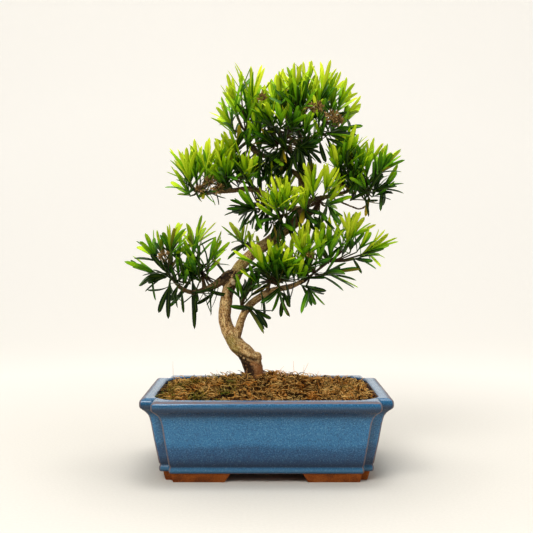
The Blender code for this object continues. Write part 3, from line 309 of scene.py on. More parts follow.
class Web:
    """A node tree in the making: each call adds one node and joins its sockets."""

    def __init__(self, tree: NodeTree) -> None:
        """Start on a tree.

        Args:
            tree: the shader or geometry tree that the nodes go into.
        """
        self.tree = tree

    def node(self, kind: str, feeds: dict[Any, Any] | None = None, **settings: Any) -> Node:
        """Add a node.

        Args:
            kind: the node's type name.
            feeds: input sockets by name or number, each with what it is fed.
            settings: the node's own settings.

        Returns:
            The new node.
        """
        made = self.tree.nodes.new(kind)
        for name, value in settings.items():
            setattr(made, name, value)
        self.feed_all(made.inputs, feeds or {})
        return made

    def feed(self, socket: Socket, value: Any) -> None:
        """Join a socket to another or to a node's first output, or set its value."""
        if isinstance(value, Node):
            value = value.outputs[0]
        if isinstance(value, Socket):
            self.tree.links.new(value, socket)
        else:
            socket.default_value = value

    def feed_all(self, sockets: Any, values: dict[Any, Any]) -> None:
        """Feed several sockets, by name or number."""
        for key, value in values.items():
            self.feed(sockets[key], value)

    def math(self, operation: str, *values: Any, clamp: bool = False) -> Socket:
        """One Math node's result."""
        feeds = dict(enumerate(values))
        return self.node("ShaderNodeMath", feeds, operation=operation, use_clamp=clamp).outputs[0]

    def times(self, first: Any, second: Any) -> Socket:
        """One value times another."""
        return self.math("MULTIPLY", first, second)

    def plus(self, first: Any, second: Any) -> Socket:
        """One value plus another."""
        return self.math("ADD", first, second)

    def less(self, first: Any, second: Any) -> Socket:
        """One value less another."""
        return self.math("SUBTRACT", first, second)

    def fit(self, value: Any, low: float, high: float, to_low: float = 0.0, to_high: float = 1.0) -> Socket:
        """A value moved from one range to another and held inside it."""
        feeds = {0: value, 1: low, 2: high, 3: to_low, 4: to_high}
        return self.node("ShaderNodeMapRange", feeds, clamp=True).outputs[0]

    def noise(self, place: Any, size: float, detail: float = 2.0, rough: float = 0.5) -> Socket:
        """A noise value from 0 to 1 whose lumps are about size millimetres across."""
        feeds = {"Vector": place, "Scale": 1 / (size * MM), "Detail": detail, "Roughness": rough}
        return self.node("ShaderNodeTexNoise", feeds).outputs[0]

    def mix(self, mask: Any, first: Any, second: Any, mode: str = "MIX") -> Socket:
        """One colour over another, by a mask."""
        feeds = {0: mask, 6: tint(first), 7: tint(second)}
        return self.node("ShaderNodeMix", feeds, data_type="RGBA", blend_type=mode).outputs[2]

    def ramp(self, value: Any, stops: Sequence[tuple[float, Any]]) -> Socket:
        """A colour read from a row of (place, colour) stops."""
        made = self.node("ShaderNodeValToRGB", {0: value})
        row = made.color_ramp.elements
        while len(row) < len(stops):
            row.new(1.0)
        for stop, (place, colour) in zip(row, stops):
            stop.position = place
            stop.color = tint(colour)
        return made.outputs[0]

    def bump(self, height: Any, depth: float) -> Socket:
        """A surface's normal, bumped by a height whose full range is depth millimetres."""
        return self.node("ShaderNodeBump", {"Height": height, "Distance": depth * MM}).outputs[0]

    def object_place(self) -> Socket:
        """The place on the object, in metres."""
        return self.node("ShaderNodeTexCoord").outputs["Object"]

    def split(self, vector: Any) -> Any:
        """A vector's three parts."""
        return self.node("ShaderNodeSeparateXYZ", {0: vector}).outputs

    def attribute(self, name: str, output: str = "Fac") -> Socket:
        """An attribute of the mesh."""
        return self.node("ShaderNodeAttribute", attribute_name=name).outputs[output]

    def named(self, name: str, kind: str) -> Socket:
        """A named attribute of the geometry."""
        made = self.node("GeometryNodeInputNamedAttribute", {"Name": name}, data_type=kind)
        return next(socket for socket in made.outputs if socket.enabled)

    def store(self, geometry: Any, name: str, value: Any, domain: str = "POINT") -> Node:
        """Geometry with a value stored on it under a name."""
        feeds = {"Geometry": geometry, "Name": name, "Value": value}
        return self.node("GeometryNodeStoreNamedAttribute", feeds, data_type="FLOAT", domain=domain)

    def random_value(self, kind: str, low: Any, high: Any, seed: int) -> Socket:
        """A random value for each element, from a fixed seed."""
        made = self.node("FunctionNodeRandomValue", data_type=kind)
        shown = [socket for socket in made.inputs if socket.enabled]
        shown[0].default_value, shown[1].default_value = low, high
        made.inputs["Seed"].default_value = seed
        return next(socket for socket in made.outputs if socket.enabled)

    def curve(self, value: Socket, points: Plan) -> Socket:
        """A value read from a smooth curve through points."""
        made = self.node("ShaderNodeFloatCurve", {"Value": value})
        curve = made.mapping.curves[0]
        while len(curve.points) < len(points):
            curve.points.new(0.5, 0.5)
        made.mapping.use_clip = False
        for spot, place in zip(curve.points, points):
            spot.location = place
        made.mapping.update()
        return made.outputs[0]

    def group(self, tree: NodeTree, feeds: dict[str, Any]) -> Node:
        """A shared effect, placed with its own values."""
        kind = "ShaderNodeGroup" if tree.bl_idname == "ShaderNodeTree" else "GeometryNodeGroup"
        return self.node(kind, feeds, node_tree=tree)


def tint(colour: Any) -> Any:
    """A linear colour from six hex digits as seen on a screen; anything else stays as it is."""
    if not isinstance(colour, str):
        return colour
    values = [int(colour[i:i + 2], 16) / 255 for i in (0, 2, 4)]
    line = [v / 12.92 if v <= 0.04045 else ((v + 0.055) / 1.055) ** 2.4 for v in values]
    return (*line, 1.0)


def new_tree(name: str, kind: str, inputs: dict[str, Any], output: str,
             output_kind: str) -> tuple[NodeTree, Web, Any, Socket]:
    """A node tree with named inputs and one output.

    Args:
        name: the tree's name.
        kind: Shader or Geometry.
        inputs: for each input its usual value, or else the kind of its socket.
        output: the output's name.
        output_kind: the kind of the output's socket.

    Returns:
        The tree, its web, the sockets that its inputs come from, and the socket of its output.
    """
    tree = bpy.data.node_groups.new(name, kind + "NodeTree")
    for label, value in inputs.items():
        socket_kind = value if isinstance(value, str) else type(value).__name__.capitalize()
        socket = tree.interface.new_socket(label, in_out="INPUT", socket_type="NodeSocket" + socket_kind)
        if not isinstance(value, str):
            socket.default_value = value
    tree.interface.new_socket(output, in_out="OUTPUT", socket_type="NodeSocket" + output_kind)
    web = Web(tree)
    return tree, web, web.node("NodeGroupInput").outputs, web.node("NodeGroupOutput").inputs[0]


def set_inputs(modifier: Modifier, values: dict[str, Any]) -> None:
    """Set Geometry Nodes inputs by their sockets' identifiers, found from their labels."""
    sockets = {item.name: item.identifier for item in modifier.node_group.interface.items_tree
               if item.item_type == "SOCKET" and item.in_out == "INPUT"}
    for label, value in values.items():
        modifier[sockets[label]] = value


class Effects:
    """Shader effects that more than one finish uses, each built once."""

    def __init__(self) -> None:
        """Build every effect."""
        self.mottle = self.build_mottle()
        self.wear = self.build_wear()

    def build_mottle(self) -> NodeTree:
        """Cloudy patches with fine specks in them, as a mask from 0 to 1."""
        inputs = {"Place": "Vector", "Cloud Size": 20.0, "Speck Size": 1.5, "Specks": 0.5}
        tree, web, given, result = new_tree("mottle", "Shader", inputs, "Mask", "Float")
        parts = [web.node("ShaderNodeTexNoise", {
            "Vector": given["Place"], "Scale": web.math("DIVIDE", 1 / MM, given[label]), "Detail": 3.0})
            for label in ("Cloud Size", "Speck Size")]
        cloud, specks = web.fit(parts[0], 0.3, 0.7), web.fit(parts[1], 0.32, 0.68)
        feeds = {0: given["Specks"], 2: cloud, 3: specks}
        web.feed(result, web.node("ShaderNodeMix", feeds, data_type="FLOAT"))
        return tree

    def build_wear(self) -> NodeTree:
        """A ragged line along edges, from an edge attribute, as a mask from 0 to 1."""
        inputs = {"Edge": 0.0, "Place": "Vector", "Ragged": 0.3, "Size": 2.0}
        tree, web, given, result = new_tree("wear", "Shader", inputs, "Mask", "Float")
        scale = web.math("DIVIDE", 1 / MM, given["Size"])
        rough = web.node("ShaderNodeTexNoise", {"Vector": given["Place"], "Scale": scale})
        shift = web.times(web.less(rough, 0.5), given["Ragged"])
        web.feed(result, web.fit(web.plus(given["Edge"], shift), 0.45, 0.85))
        return tree

    def patches(self, web: Web, place: Socket, cloud: float, speck: float, specks: float) -> Socket:
        """The mottle's mask, with clouds and specks of these sizes, and how much the specks show."""
        feeds = {"Place": place, "Cloud Size": cloud, "Speck Size": speck, "Specks": specks}
        return web.group(self.mottle, feeds).outputs[0]


@dataclass(frozen=True)
class Finish:
    """A look: its colours, and the pattern that it makes with them."""

    def pattern(self, web: Web, place: Socket, effects: Effects) -> dict[str, Any]:
        """What the look feeds to its shader.

        Args:
            web: the web that the pattern's nodes are added to.
            place: the place on the object, in metres.
            effects: the shared effects.

        Returns:
            A value for each of the shader's inputs that it uses, by name.
        """
        raise NotImplementedError

    def build(self, name: str, effects: Effects) -> Material:
        """A Principled material that wears this look, from the shared effects."""
        made = bpy.data.materials.new(name)
        made.use_nodes = True
        web, shader = Web(made.node_tree), made.node_tree.nodes["Principled BSDF"]
        web.feed_all(shader.inputs, self.pattern(web, web.object_place(), effects))
        return made


@dataclass(frozen=True)
class GlazeFinish(Finish):
    """Blue glaze: clouded and speckled, thin and brown over the edges, darker low down by a painted
    reflection, with painted shade in its pools.
    """

    upper: str = "266a98"
    # The lower colour is a painted reflection of a dark surface below, laid over the lower part of the pot.
    lower: str = "134974"
    speck: str = "4d90b2"
    # The deep colour is the glaze's dark clouds, and also the painted shade in its pools.
    deep: str = "08203a"
    thin: str = "705b55"
    bead: str = "3f7493"
    low_band: tuple[float, float] = (36.0, 42.0)
    low_wobble: float = 14.0
    roughness: tuple[float, float] = (0.16, 0.30)

    def pattern(self, web: Web, place: Socket, effects: Effects) -> dict[str, Any]:
        """Thin over deep and light glaze, with a painted dark reflection low down and painted shade in the
        pools.
        """
        # The low mask paints that dark reflection over the lower part, with a wavy edge.
        wobble = web.times(web.less(web.noise(place, 60.0), 0.5), self.low_wobble * MM)
        low = web.fit(web.plus(web.split(place)[2], wobble), *(height * MM for height in self.low_band))
        clouds = effects.patches(web, place, 14.0, 1.1, 0.9)
        specks = web.times(web.fit(clouds, 0.5, 0.95, 0.0, 0.62), web.fit(low, 0.0, 1.0, 0.6, 1.0))
        edge = {"Edge": web.attribute("edge"), "Place": place, "Ragged": 0.5, "Size": 5.0}
        thin = web.times(web.group(effects.wear, edge), 0.85)
        base = web.mix(low, self.lower, self.upper)
        # The pooling mask lays the deep colour on as pooled glaze and as painted shade.
        for mask, colour in (
                (specks, self.speck), (web.fit(clouds, 0.05, 0.45, 0.62, 0.0), self.deep),
                (web.attribute("pool_and_shade"), self.deep), (web.times(web.attribute("bead"), 0.6), self.bead),
                (thin, self.thin)):
            base = web.mix(mask, base, colour)
        ripples = web.plus(web.times(web.noise(place, 7.0), 0.75), web.times(clouds, 0.25))
        return {
            "Base Color": base,
            "Roughness": web.plus(web.fit(clouds, 0.0, 1.0, *self.roughness), web.times(thin, 0.4)),
            "Coat Weight": web.fit(thin, 0.0, 0.8, 0.35, 0.0),
            "Coat Roughness": 0.05,
            "Specular IOR Level": 0.34,
            "Normal": web.bump(ripples, 0.25)}


@dataclass(frozen=True)
class ClayFinish(Finish):
    """Bare terracotta, matt and slightly gritty, with darker and paler patches."""

    body: str = "864110"
    dark: str = "542a0a"
    pale: str = "a05c24"

    def pattern(self, web: Web, place: Socket, effects: Effects) -> dict[str, Any]:
        """Patches with fine grit."""
        patches = effects.patches(web, place, 14.0, 1.0, 0.45)
        return {
            "Base Color": web.ramp(patches, [(0.1, self.dark), (0.5, self.body), (0.95, self.pale)]),
            "Roughness": 0.82,
            "Specular IOR Level": 0.2,
            "Normal": web.bump(web.noise(place, 0.7, 3.0), 0.2)}


@dataclass(frozen=True)
class BarkFinish(Finish):
    """Thin tan bark in long streaks, redder at the foot, with a green film on one side, and painted shade on
    the stems' right side, in the crease and in the hollow.
    """

    tan: str = "b5884f"
    light: str = "e0c184"
    brown: str = "6f4c2c"
    red: str = "925329"
    film: str = "7f7a2c"
    # Dark flecks, and the painted shade in the crease and the hollow.
    dark: str = "1d1009"
    fleck: str = "e3cfa0"
    scar: str = "d8c3a0"
    # Darker young bark; up the trunk this darkening also paints the shade under the foliage.
    young: str = "4b3822"

    def pattern(self, web: Web, place: Socket, effects: Effects) -> dict[str, Any]:
        """Streaks along the grain, flecks, and the tints stored on the mesh, painted shade among them."""
        grain = web.attribute("grain", "Vector")
        streaks = web.noise(grain, 3.0, 5.0, 0.7)
        patches = effects.patches(web, grain, 6.0, 1.5, 0.62)
        flecks = web.noise(place, 1.3, 1.0)
        base = web.ramp(streaks, [(0.30, self.brown), (0.47, self.tan), (0.68, self.light)])
        for value, reach, colour in (
                (patches, (0.58, 0.85, 0.0, 0.75), self.light), (patches, (0.1, 0.42, 0.85, 0.0), self.brown),
                (flecks, (0.57, 0.68, 0.0, 0.6), self.fleck), (flecks, (0.33, 0.44, 0.72, 0.0), self.dark)):
            base = web.mix(web.fit(value, *reach), base, colour)
        # Painted shade darkens the stems' right side, away from the key lamp.
        base = web.mix(web.times(web.attribute("side_shade"), 0.72), base, self.brown, "MULTIPLY")
        stray = web.times(web.less(streaks, 0.5), 0.6)
        for name, colour, most in (
                ("foot", self.red, 0.62), ("film", self.film, 0.5), ("young", self.young, 0.72)):
            base = web.mix(web.fit(web.plus(web.attribute(name), stray), 0.25, 0.85, 0.0, most), base, colour)
        # Painted shade in the crease under the fold and in the hollow at the foot, with the joint's dark
        # streak; negative values mark the pale scar.
        crease_shade = web.attribute("crease_shade")
        base = web.mix(web.times(crease_shade, 0.94), base, self.dark)
        return {
            "Base Color": web.mix(web.fit(crease_shade, -0.8, 0.0, 0.85, 0.0), base, self.scar),
            "Roughness": web.fit(streaks, 0.2, 0.8, 0.9, 0.62),
            "Specular IOR Level": 0.2,
            "Normal": web.bump(web.plus(web.times(streaks, 0.5), web.times(patches, 0.5)), 1.2)}


@dataclass(frozen=True)
class TwigFinish(Finish):
    """Green shoots that turn brown towards the wood."""

    green: str = "3f5a16"
    brown: str = "3c2b18"

    def pattern(self, web: Web, place: Socket, effects: Effects) -> dict[str, Any]:
        """Green to brown by age, with a ragged border."""
        patches = effects.patches(web, place, 6.0, 1.2, 0.4)
        mask = web.fit(web.plus(web.attribute("age"), web.times(patches, 0.4)), 0.3, 0.9)
        return {
            "Base Color": web.mix(mask, self.green, self.brown),
            "Roughness": 0.6,
            "Specular IOR Level": 0.15,
            "Normal": web.bump(web.noise(place, 0.8, 3.0), 0.2)}


@dataclass(frozen=True)
class LeafFinish(Finish):
    """Strap leaves: lime when young, dark when old and where painted shade adds to the age, with a midrib and
    a paler underside.
    """

    ages: tuple[str, ...] = ("d6e42c", "a4c808", "609804", "265c04", "0c2403")
    dry_young: str = "ac8850"
    dry_old: str = "4e3a1c"
    midrib: str = "b2cf2c"
    under: str = "587a14"
    stale: str = "a48a1c"

    def pattern(self, web: Web, place: Socket, effects: Effects) -> dict[str, Any]:
        """Green by age, a few leaves gone yellow, the midrib, the underside and the dried buds."""
        along, across, age, tone, under = map(web.attribute, ("along", "across", "age", "tone", "under"))
        shift = web.times(web.less(effects.patches(web, place, 12.0, 1.5, 0.25), 0.5), 0.14)
        aged = web.plus(web.plus(age, shift), web.fit(along, 0.0, 0.8, 0.36, -0.04))
        stale = web.times(web.fit(tone, 0.955, 0.975), web.fit(aged, 0.25, 0.4))
        rib = web.fit(web.math("ABSOLUTE", across), 0.05, 0.22, 1.0, 0.0)
        last = len(self.ages) - 1
        base = web.ramp(aged, [(0.02 + 0.96 * i / last, colour) for i, colour in enumerate(self.ages)])
        for mask, value, reach, colour in (
                (stale, along, (0.2, 0.8, 0.25, 0.85), self.stale),
                (rib, aged, (0.0, 1.0, 0.3, 0.1), self.midrib),
                (under, aged, (0.2, 1.0, 0.25, 0.06), self.under)):
            base = web.mix(web.times(mask, web.fit(value, *reach)), base, colour)
        dry = web.mix(web.fit(aged, 0.1, 1.0), self.dry_young, self.dry_old)
        veins = web.math("SINE", web.times(across, 16.0))
        return {
            "Base Color": web.mix(web.fit(tone, 1.4, 1.6), base, dry),
            "Roughness": web.fit(aged, 0.0, 1.0, 0.5, 0.36),
            "Specular IOR Level": 0.1,
            "Normal": web.bump(web.plus(web.times(veins, 0.1), rib), 0.12)}


@dataclass(frozen=True)
class MossFinish(Finish):
    """Dried stringy moss: rust to straw with olive and green patches, with painted shade near black in the
    gaps and at strand roots, and painted light on strand tips.
    """

    strands: bool
    rust: str = "d88834"
    straw: str = "f7cb78"
    olive: str = "93802a"
    green: str = "5f8420"
    # The gap colour is painted shade between and under the strands; it also darkens some strands at random.
    gap: str = "170d05"

    def pattern(self, web: Web, place: Socket, effects: Effects) -> dict[str, Any]:
        """Patches of colour: bright tufts on single strands, and painted shade near black on the mat under
        them.
        """
        clumps = effects.patches(web, place, 16.0, 3.5, 0.4)
        side = web.fit(web.split(place)[0], -105 * MM, 20 * MM, 0.1, -0.14)
        green_side = web.plus(web.noise(place, 26.0), side)
        base = web.mix(web.fit(clumps, 0.35, 0.8), self.rust, self.straw)
        base = web.mix(web.fit(green_side, 0.52, 0.66), base, self.olive)
        if self.strands:
            # The rise along each strand feeds painted shade at its root and painted light at its tip.
            tone, rise = web.attribute("tone"), web.attribute("rise")
            # Painted shade between tufts and at strand roots.
            tuft_shade = web.plus(web.noise(place, 4.5, 2.0), web.times(rise, 0.4))
            for value, reach, colour in (
                    (tone, (0.1, 0.52, 1.0, 0.0), self.gap),
                    (web.plus(tone, web.times(rise, 0.3)), (0.85, 1.15, 0.0, 0.9), self.straw),
                    (web.plus(green_side, tone), (1.45, 1.6), self.green),
                    (tuft_shade, (0.55, 0.74, 0.98, 0.0), self.gap)):
                base = web.mix(web.fit(value, *reach), base, colour)
        else:
            # The mat under the strands is painted near black as shade.
            base = web.mix(0.9, base, self.gap)
        return {
            "Base Color": base,
            "Roughness": 0.9,
            "Specular IOR Level": 0.05,
            "Normal": web.bump(web.noise(place, 1.1, 4.0, 0.65), 0.8)}


@dataclass(frozen=True)
class SoilFinish(Finish):
    """Dark crumbly soil."""

    dark: str = "1d140d"
    brown: str = "4a3220"

    def pattern(self, web: Web, place: Socket, effects: Effects) -> dict[str, Any]:
        """Crumbs, the higher the browner."""
        crumbs = effects.patches(web, place, 10.0, 2.0, 0.7)
        return {
            "Base Color": web.mix(crumbs, self.dark, self.brown),
            "Roughness": 0.95,
            "Normal": web.bump(crumbs, 1.5)}


@dataclass(frozen=True)
class ScreenFinish(Finish):
    """Black moulded plastic with a fine satin grain and a little dust."""

    black: str = "17181a"
    dust: str = "3c3530"

    def pattern(self, web: Web, place: Socket, effects: Effects) -> dict[str, Any]:
        """Dust in patches, which is rougher than the plastic."""
        dust = effects.patches(web, place, 8.0, 0.8, 0.5)
        return {
            "Base Color": web.mix(web.fit(dust, 0.4, 1.0, 0.0, 0.7), self.black, self.dust),
            "Roughness": web.fit(dust, 0.0, 1.0, 0.4, 0.7),
            "Normal": web.bump(web.noise(place, 0.5), 0.05)}


@dataclass(frozen=True)
class PaperFinish(Finish):
    """The studio's pale paper, which gives off more light of its own farther from the tree."""

    light: str
    dark: str = "c6c2ba"
    pale: str = "cac6be"
    glow: Rows = ((0.0, 0.0), (0.06, 0.1), (0.3, 0.4), (1.0, 0.62))

    def pattern(self, web: Web, place: Socket, effects: Effects) -> dict[str, Any]:
        """Faint grain, and the glow by the distance from the tree."""
        away = web.node("ShaderNodeVectorMath", {0: place}, operation="LENGTH").outputs["Value"]
        red, green, blue, _ = tint(self.light)
        stops = [(share, (red * power, green * power, blue * power, 1.0)) for share, power in self.glow]
        return {
            "Base Color": web.mix(web.fit(web.noise(place, 3.0), 0.3, 0.7), self.dark, self.pale),
            "Roughness": 0.9,
            "Specular IOR Level": 0.0,
            "Emission Color": web.ramp(web.fit(away, 0.1, 2.6), stops),
            "Emission Strength": 1.0}


def new_object(name: str, points: Iterable[Sequence[float]], faces: Sequence[Sequence[int]] = (),
               edges: Sequence[Sequence[int]] = ()) -> Object:
    """An object from millimetre points."""
    mesh = bpy.data.meshes.new(name)
    mesh.from_pydata([Vector(point) * MM for point in points], edges, faces)
    made = bpy.data.objects.new(name, mesh)
    bpy.context.scene.collection.objects.link(made)
    return made


def closed_object(name: str, rings: Sequence[Sequence[Vector]]) -> Object:
    """A closed object skinned over rings, with its faces turned outwards."""
    made = new_object(name, *skin_rings(rings))
    turn_out(made.data)
    return made


def set_values(mesh: Mesh, name: str, values: Iterable[Any], kind: str = "FLOAT") -> None:
    """Store a number, or a vector, on every point of a mesh."""
    layer = mesh.attributes.new(name, kind, "POINT")
    flat = np.asarray(list(values), dtype=np.int32 if kind == "INT" else np.float32).ravel()
    layer.data.foreach_set("vector" if kind == "FLOAT_VECTOR" else "value", flat)


def dress(mesh: Mesh, *looks: Material) -> None:
    """Give a mesh these materials only."""
    mesh.materials.clear()
    for look in looks:
        mesh.materials.append(look)


def bake(target: Object) -> Mesh:
    """Turn the object's modifiers into its plain mesh, and remove them."""
    depsgraph = bpy.context.evaluated_depsgraph_get()
    depsgraph.update()
    mesh = bpy.data.meshes.new_from_object(target.evaluated_get(depsgraph))
    target.modifiers.clear()
    target.data = mesh
    mesh.name = target.name
    return mesh


def turn_out(mesh: Mesh) -> None:
    """Merge doubles and turn all faces of a closed mesh outwards."""
    work = bmesh.new()
    work.from_mesh(mesh)
    bmesh.ops.remove_doubles(work, verts=work.verts, dist=0.001 * MM)
    bmesh.ops.recalc_face_normals(work, faces=work.faces)
    work.to_mesh(mesh)
    work.free()


def boolean(base: Object, tools: Sequence[Object], operation: str) -> None:
    """Join the tools to the base, or cut them from it, and delete them."""
    group = bpy.data.collections.new(base.name + "_tools")
    bpy.context.scene.collection.children.link(group)
    for tool in tools:
        bpy.context.scene.collection.objects.unlink(tool)
        group.objects.link(tool)
    change = base.modifiers.new("change", "BOOLEAN")
    change.operation, change.operand_type, change.solver = operation, "COLLECTION", "EXACT"
    change.collection = group
    bake(base)
    for tool in tools:
        bpy.data.objects.remove(tool)
    bpy.data.collections.remove(group)


def held(value: float, low: float = 0.0, high: float = 1.0) -> float:
    """A value held between two others."""
    return max(low, min(high, value))


def read_off(rows: Rows, place: float, column: int = 1) -> float:
    """A column's value at a place, from rows in the order of their first column."""
    return float(np.interp(place, [row[0] for row in rows], [row[column] for row in rows]))


def nearness(spot: Vector, ball: Sequence[float]) -> float:
    """1 at the middle of a ball (x, y, z, radius), falling towards 0 outside it."""
    return math.exp(-((spot - Vector(ball[:3])).length / ball[3]) ** 2)


def raised(ring: Iterable[Vector], z: float) -> list[Vector]:
    """Flat points at a height."""
    return [point.to_3d() + Vector((0, 0, z)) for point in ring]


def skin_rings(rings: Sequence[Sequence[Vector]], close: bool = True) -> Skin:
    """Quads between rings of equal length, with both ends closed if asked."""
    count = len(rings[0])
    points = [point for ring in rings for point in ring]
    faces: list[tuple[int, ...]] = []
    if close:
        faces = [tuple(reversed(range(count))), tuple(range(len(points) - count, len(points)))]
    for level in range(len(rings) - 1):
        low, high = level * count, (level + 1) * count
        faces += [(low + i, low + (i + 1) % count, high + (i + 1) % count, high + i) for i in range(count)]
    return points, faces


@dataclass
class Pot:
    """The glazed pot with indented corners, its feet, its room for the soil and its drain holes.

    The profile holds rows of height and inset, and the cavity rows of height, inset and corner
    radius. The cove and the groove say how deep the glaze pools at each height, and how much
    painted shade lies under the lip and along the bead. A wear says how thin it is on an edge.
    """

    half_length: float = 131.0
    half_width: float = 100.0
    top: float = 86.6
    underside: float = 9.2
    notch_at_lip: float = 14.5
    notch_at_base: float = 11.0
    deeper_at_lip: float = 7.5
    profile: Rows = (
        (9.2, 21.4), (9.5, 20.4), (10.4, 19.7), (11.8, 19.3), (13.4, 19.3), (14.7, 19.6), (15.6, 20.0),
        (16.3, 20.1), (17.1, 19.8), (18.2, 19.2), (20.5, 18.6), (26, 17.5), (33, 16.1), (42, 14.3),
        (52, 12.5), (60, 11.1), (65, 9.9), (68.5, 8.6), (71, 6.9), (73.2, 4.8), (75, 2.7), (76.5, 1.0),
        (77.8, 0.3), (79.5, 0.0), (82.3, 0.0), (83.9, 0.4), (85.1, 1.3), (86.0, 2.6), (86.45, 4.0),
        (86.6, 5.6))
    cavity: Rows = (
        (86.6, 12.2, 33.0), (86.3, 13.4, 31.8), (85.5, 14.1, 31.0), (84.0, 14.5, 30.0), (80, 15.6, 28.0),
        (62, 19, 25), (40, 23.2, 26), (20, 26.5, 27), (17, 27.5, 26.0))
    side_steps: tuple[float, ...] = (1.6, 4.0, 8.0, 12.5, 17.5)
    side_middle_parts: int = 6
    corner_parts: int = 4
    convex: float = 2.3
    hollow: float = 2.0
    drain_x: float = 62.0
    drain_radius: float = 9.0
    drain_height: float = 25.0
    drain_sides: int = 32
    foot_top: Rows = (
        (107.5, 32), (107.5, 68), (98.5, 68), (98.5, 79), (37, 79), (37, 64), (90, 64), (90, 32))
    foot_ground: Rows = (
        (105, 38), (105, 66.5), (96.5, 66.5), (96.5, 77), (43, 77), (43, 65.5), (91.5, 65.5), (91.5, 38))
    foot_levels: Rows = ((0.0, 0.55), (0.25, 0.2), (0.7, 0.0), (8.2, 0.0), (11.2, 0.0))
    foot_corner: float = 1.3

    # Where the clay is bare: the upper end of the underside, and the room for the soil.
    bare_up_to: float = 9.35
    wall: float = 16.0
    room: tuple[float, float] = (16.0, 70.0)
    floor: float = 20.0
    level: float = 0.9
    sharp_angle: float = 38.0

    # How the glaze thins over edges and pools in hollows, with painted shade in the pools, by height and by
    # distance.
    ridge_flat: float = 0.7
    ridge_fade: float = 2.4
    valley_pool: float = 0.75
    valley_width: float = 3.5
    lip: float = 84.0
    lip_line: float = 85.6
    lip_flat: float = 0.4
    lip_skin: float = 0.8
    lip_wear: float = 0.95
    lip_wear_falls: tuple[float, float] = (0.5, 0.32)
    brink_wear: float = 0.75
    brink_width: float = 1.2
    glazed_from: float = 9.9
    lowest_wear: float = 0.9
    bead_line: float = 13.0
    bead_width: float = 2.4
    skin: float = 3.0
    shade_top: float = 86.0
    shade_fade: float = 2.0
    # The cove row is glaze pooled under the lip together with painted shadow there; the groove row is painted
    # shade in the line under the bead and in the groove above it.
    cove: Rows = ((62, 0.0), (67.5, 0.14), (71.5, 0.85), (79.0, 0.95), (81.2, 0.4), (85.5, 0.22), (86.4, 0.0))
    groove: Rows = (
        (9.8, 0.9), (12.4, 0.3), (13.4, 0.0), (15.0, 0.1), (16.4, 0.9), (19.5, 0.85), (26, 0.3), (34, 0.0))
    made: Object | None = field(default=None, repr=False)

    def notch(self, z: float) -> float:
        """How deep the corner is cut in at a height."""
        share = (z - self.underside) / (self.top - self.underside)
        return self.notch_at_base + (self.notch_at_lip - self.notch_at_base) * share

    def notch_depth(self, notch: float) -> float:
        """How far the same corner is cut in from the front and back, where it goes deeper at the lip."""
        share = (notch - self.notch_at_base) / (self.notch_at_lip - self.notch_at_base)
        return notch + self.deeper_at_lip * share

    def outline(self, inset: float, notch: float) -> list[Vector]:
        """The pot's plan with its corners rounded and its sides cut for an even skin."""
        length, width = self.half_length - inset, self.half_width - inset
        deep = self.notch_depth(notch)
        quarter = [(length, width - deep), (length - notch, width - deep), (length - notch, width)]
        corners: list[Vector] = []
        for turn, (sx, sy) in enumerate([(1, 1), (-1, 1), (-1, -1), (1, -1)]):
            part = [Vector((sx * x, sy * y)) for x, y in quarter]
            corners += part if turn % 2 == 0 else part[::-1]
        ring: list[Vector] = []
        for i, corner in enumerate(corners):
            radius = self.hollow if i % 3 == 1 else self.convex
            following = corners[(i + 1) % len(corners)]
            ring += round_corner(corners[i - 1], corner, following, radius, self.corner_parts)
            if i % 3 == 2:
                start = ring[-1]
                end = following + (corner - following).normalized() * self.convex
                ahead = (end - start).normalized()
                ring += [start + ahead * step for step in self.side_steps]
                inner = [start + ahead * self.side_steps[-1], end - ahead * self.side_steps[-1]]
                parts = self.side_middle_parts
                ring += [inner[0].lerp(inner[1], k / parts) for k in range(1, parts)]
                ring += [end - ahead * step for step in reversed(self.side_steps)]
        return ring

    def inner(self, ring: Sequence[Vector], inset: float, radius: float) -> list[Vector]:
        """The inner wall's plan: for each outer point, the nearest one on a rounded rectangle."""
        length, width = self.half_length - inset - radius, self.half_width - inset - radius
        cores = [Vector((held(point.x, -length, length), held(point.y, -width, width))) for point in ring]
        return [core + (point - core).normalized() * radius for core, point in zip(cores, ring)]

    def foot(self, sx: int, sy: int) -> Object:
        """One foot, with eased edges, for the corner with these signs."""
        rings = []
        for z, ease in self.foot_levels:
            share = min(1.0, z / self.underside)
            corners = [Vector((sx * (a[0] + (b[0] - a[0]) * share), sy * (a[1] + (b[1] - a[1]) * share)))
                       for a, b in zip(self.foot_ground, self.foot_top)]
            middle = sum(corners, Vector((0, 0))) / len(corners)
            ring = []
            for i, corner in enumerate(corners):
                following = corners[(i + 1) % len(corners)]
                ring += round_corner(corners[i - 1], corner, following, self.foot_corner, 3)
            rings.append(raised([point + (middle - point).normalized() * ease for point in ring], z))
        return closed_object("foot", rings)

    def drain(self, x: float) -> Object:
        """What is cut away for the drain hole at x."""
        turns = [2 * math.pi * k / self.drain_sides for k in range(self.drain_sides)]
        circle = [Vector((x + self.drain_radius * math.cos(turn), self.drain_radius * math.sin(turn)))
                  for turn in turns]
        return closed_object("drain", [raised(circle, z) for z in (0, self.drain_height)])

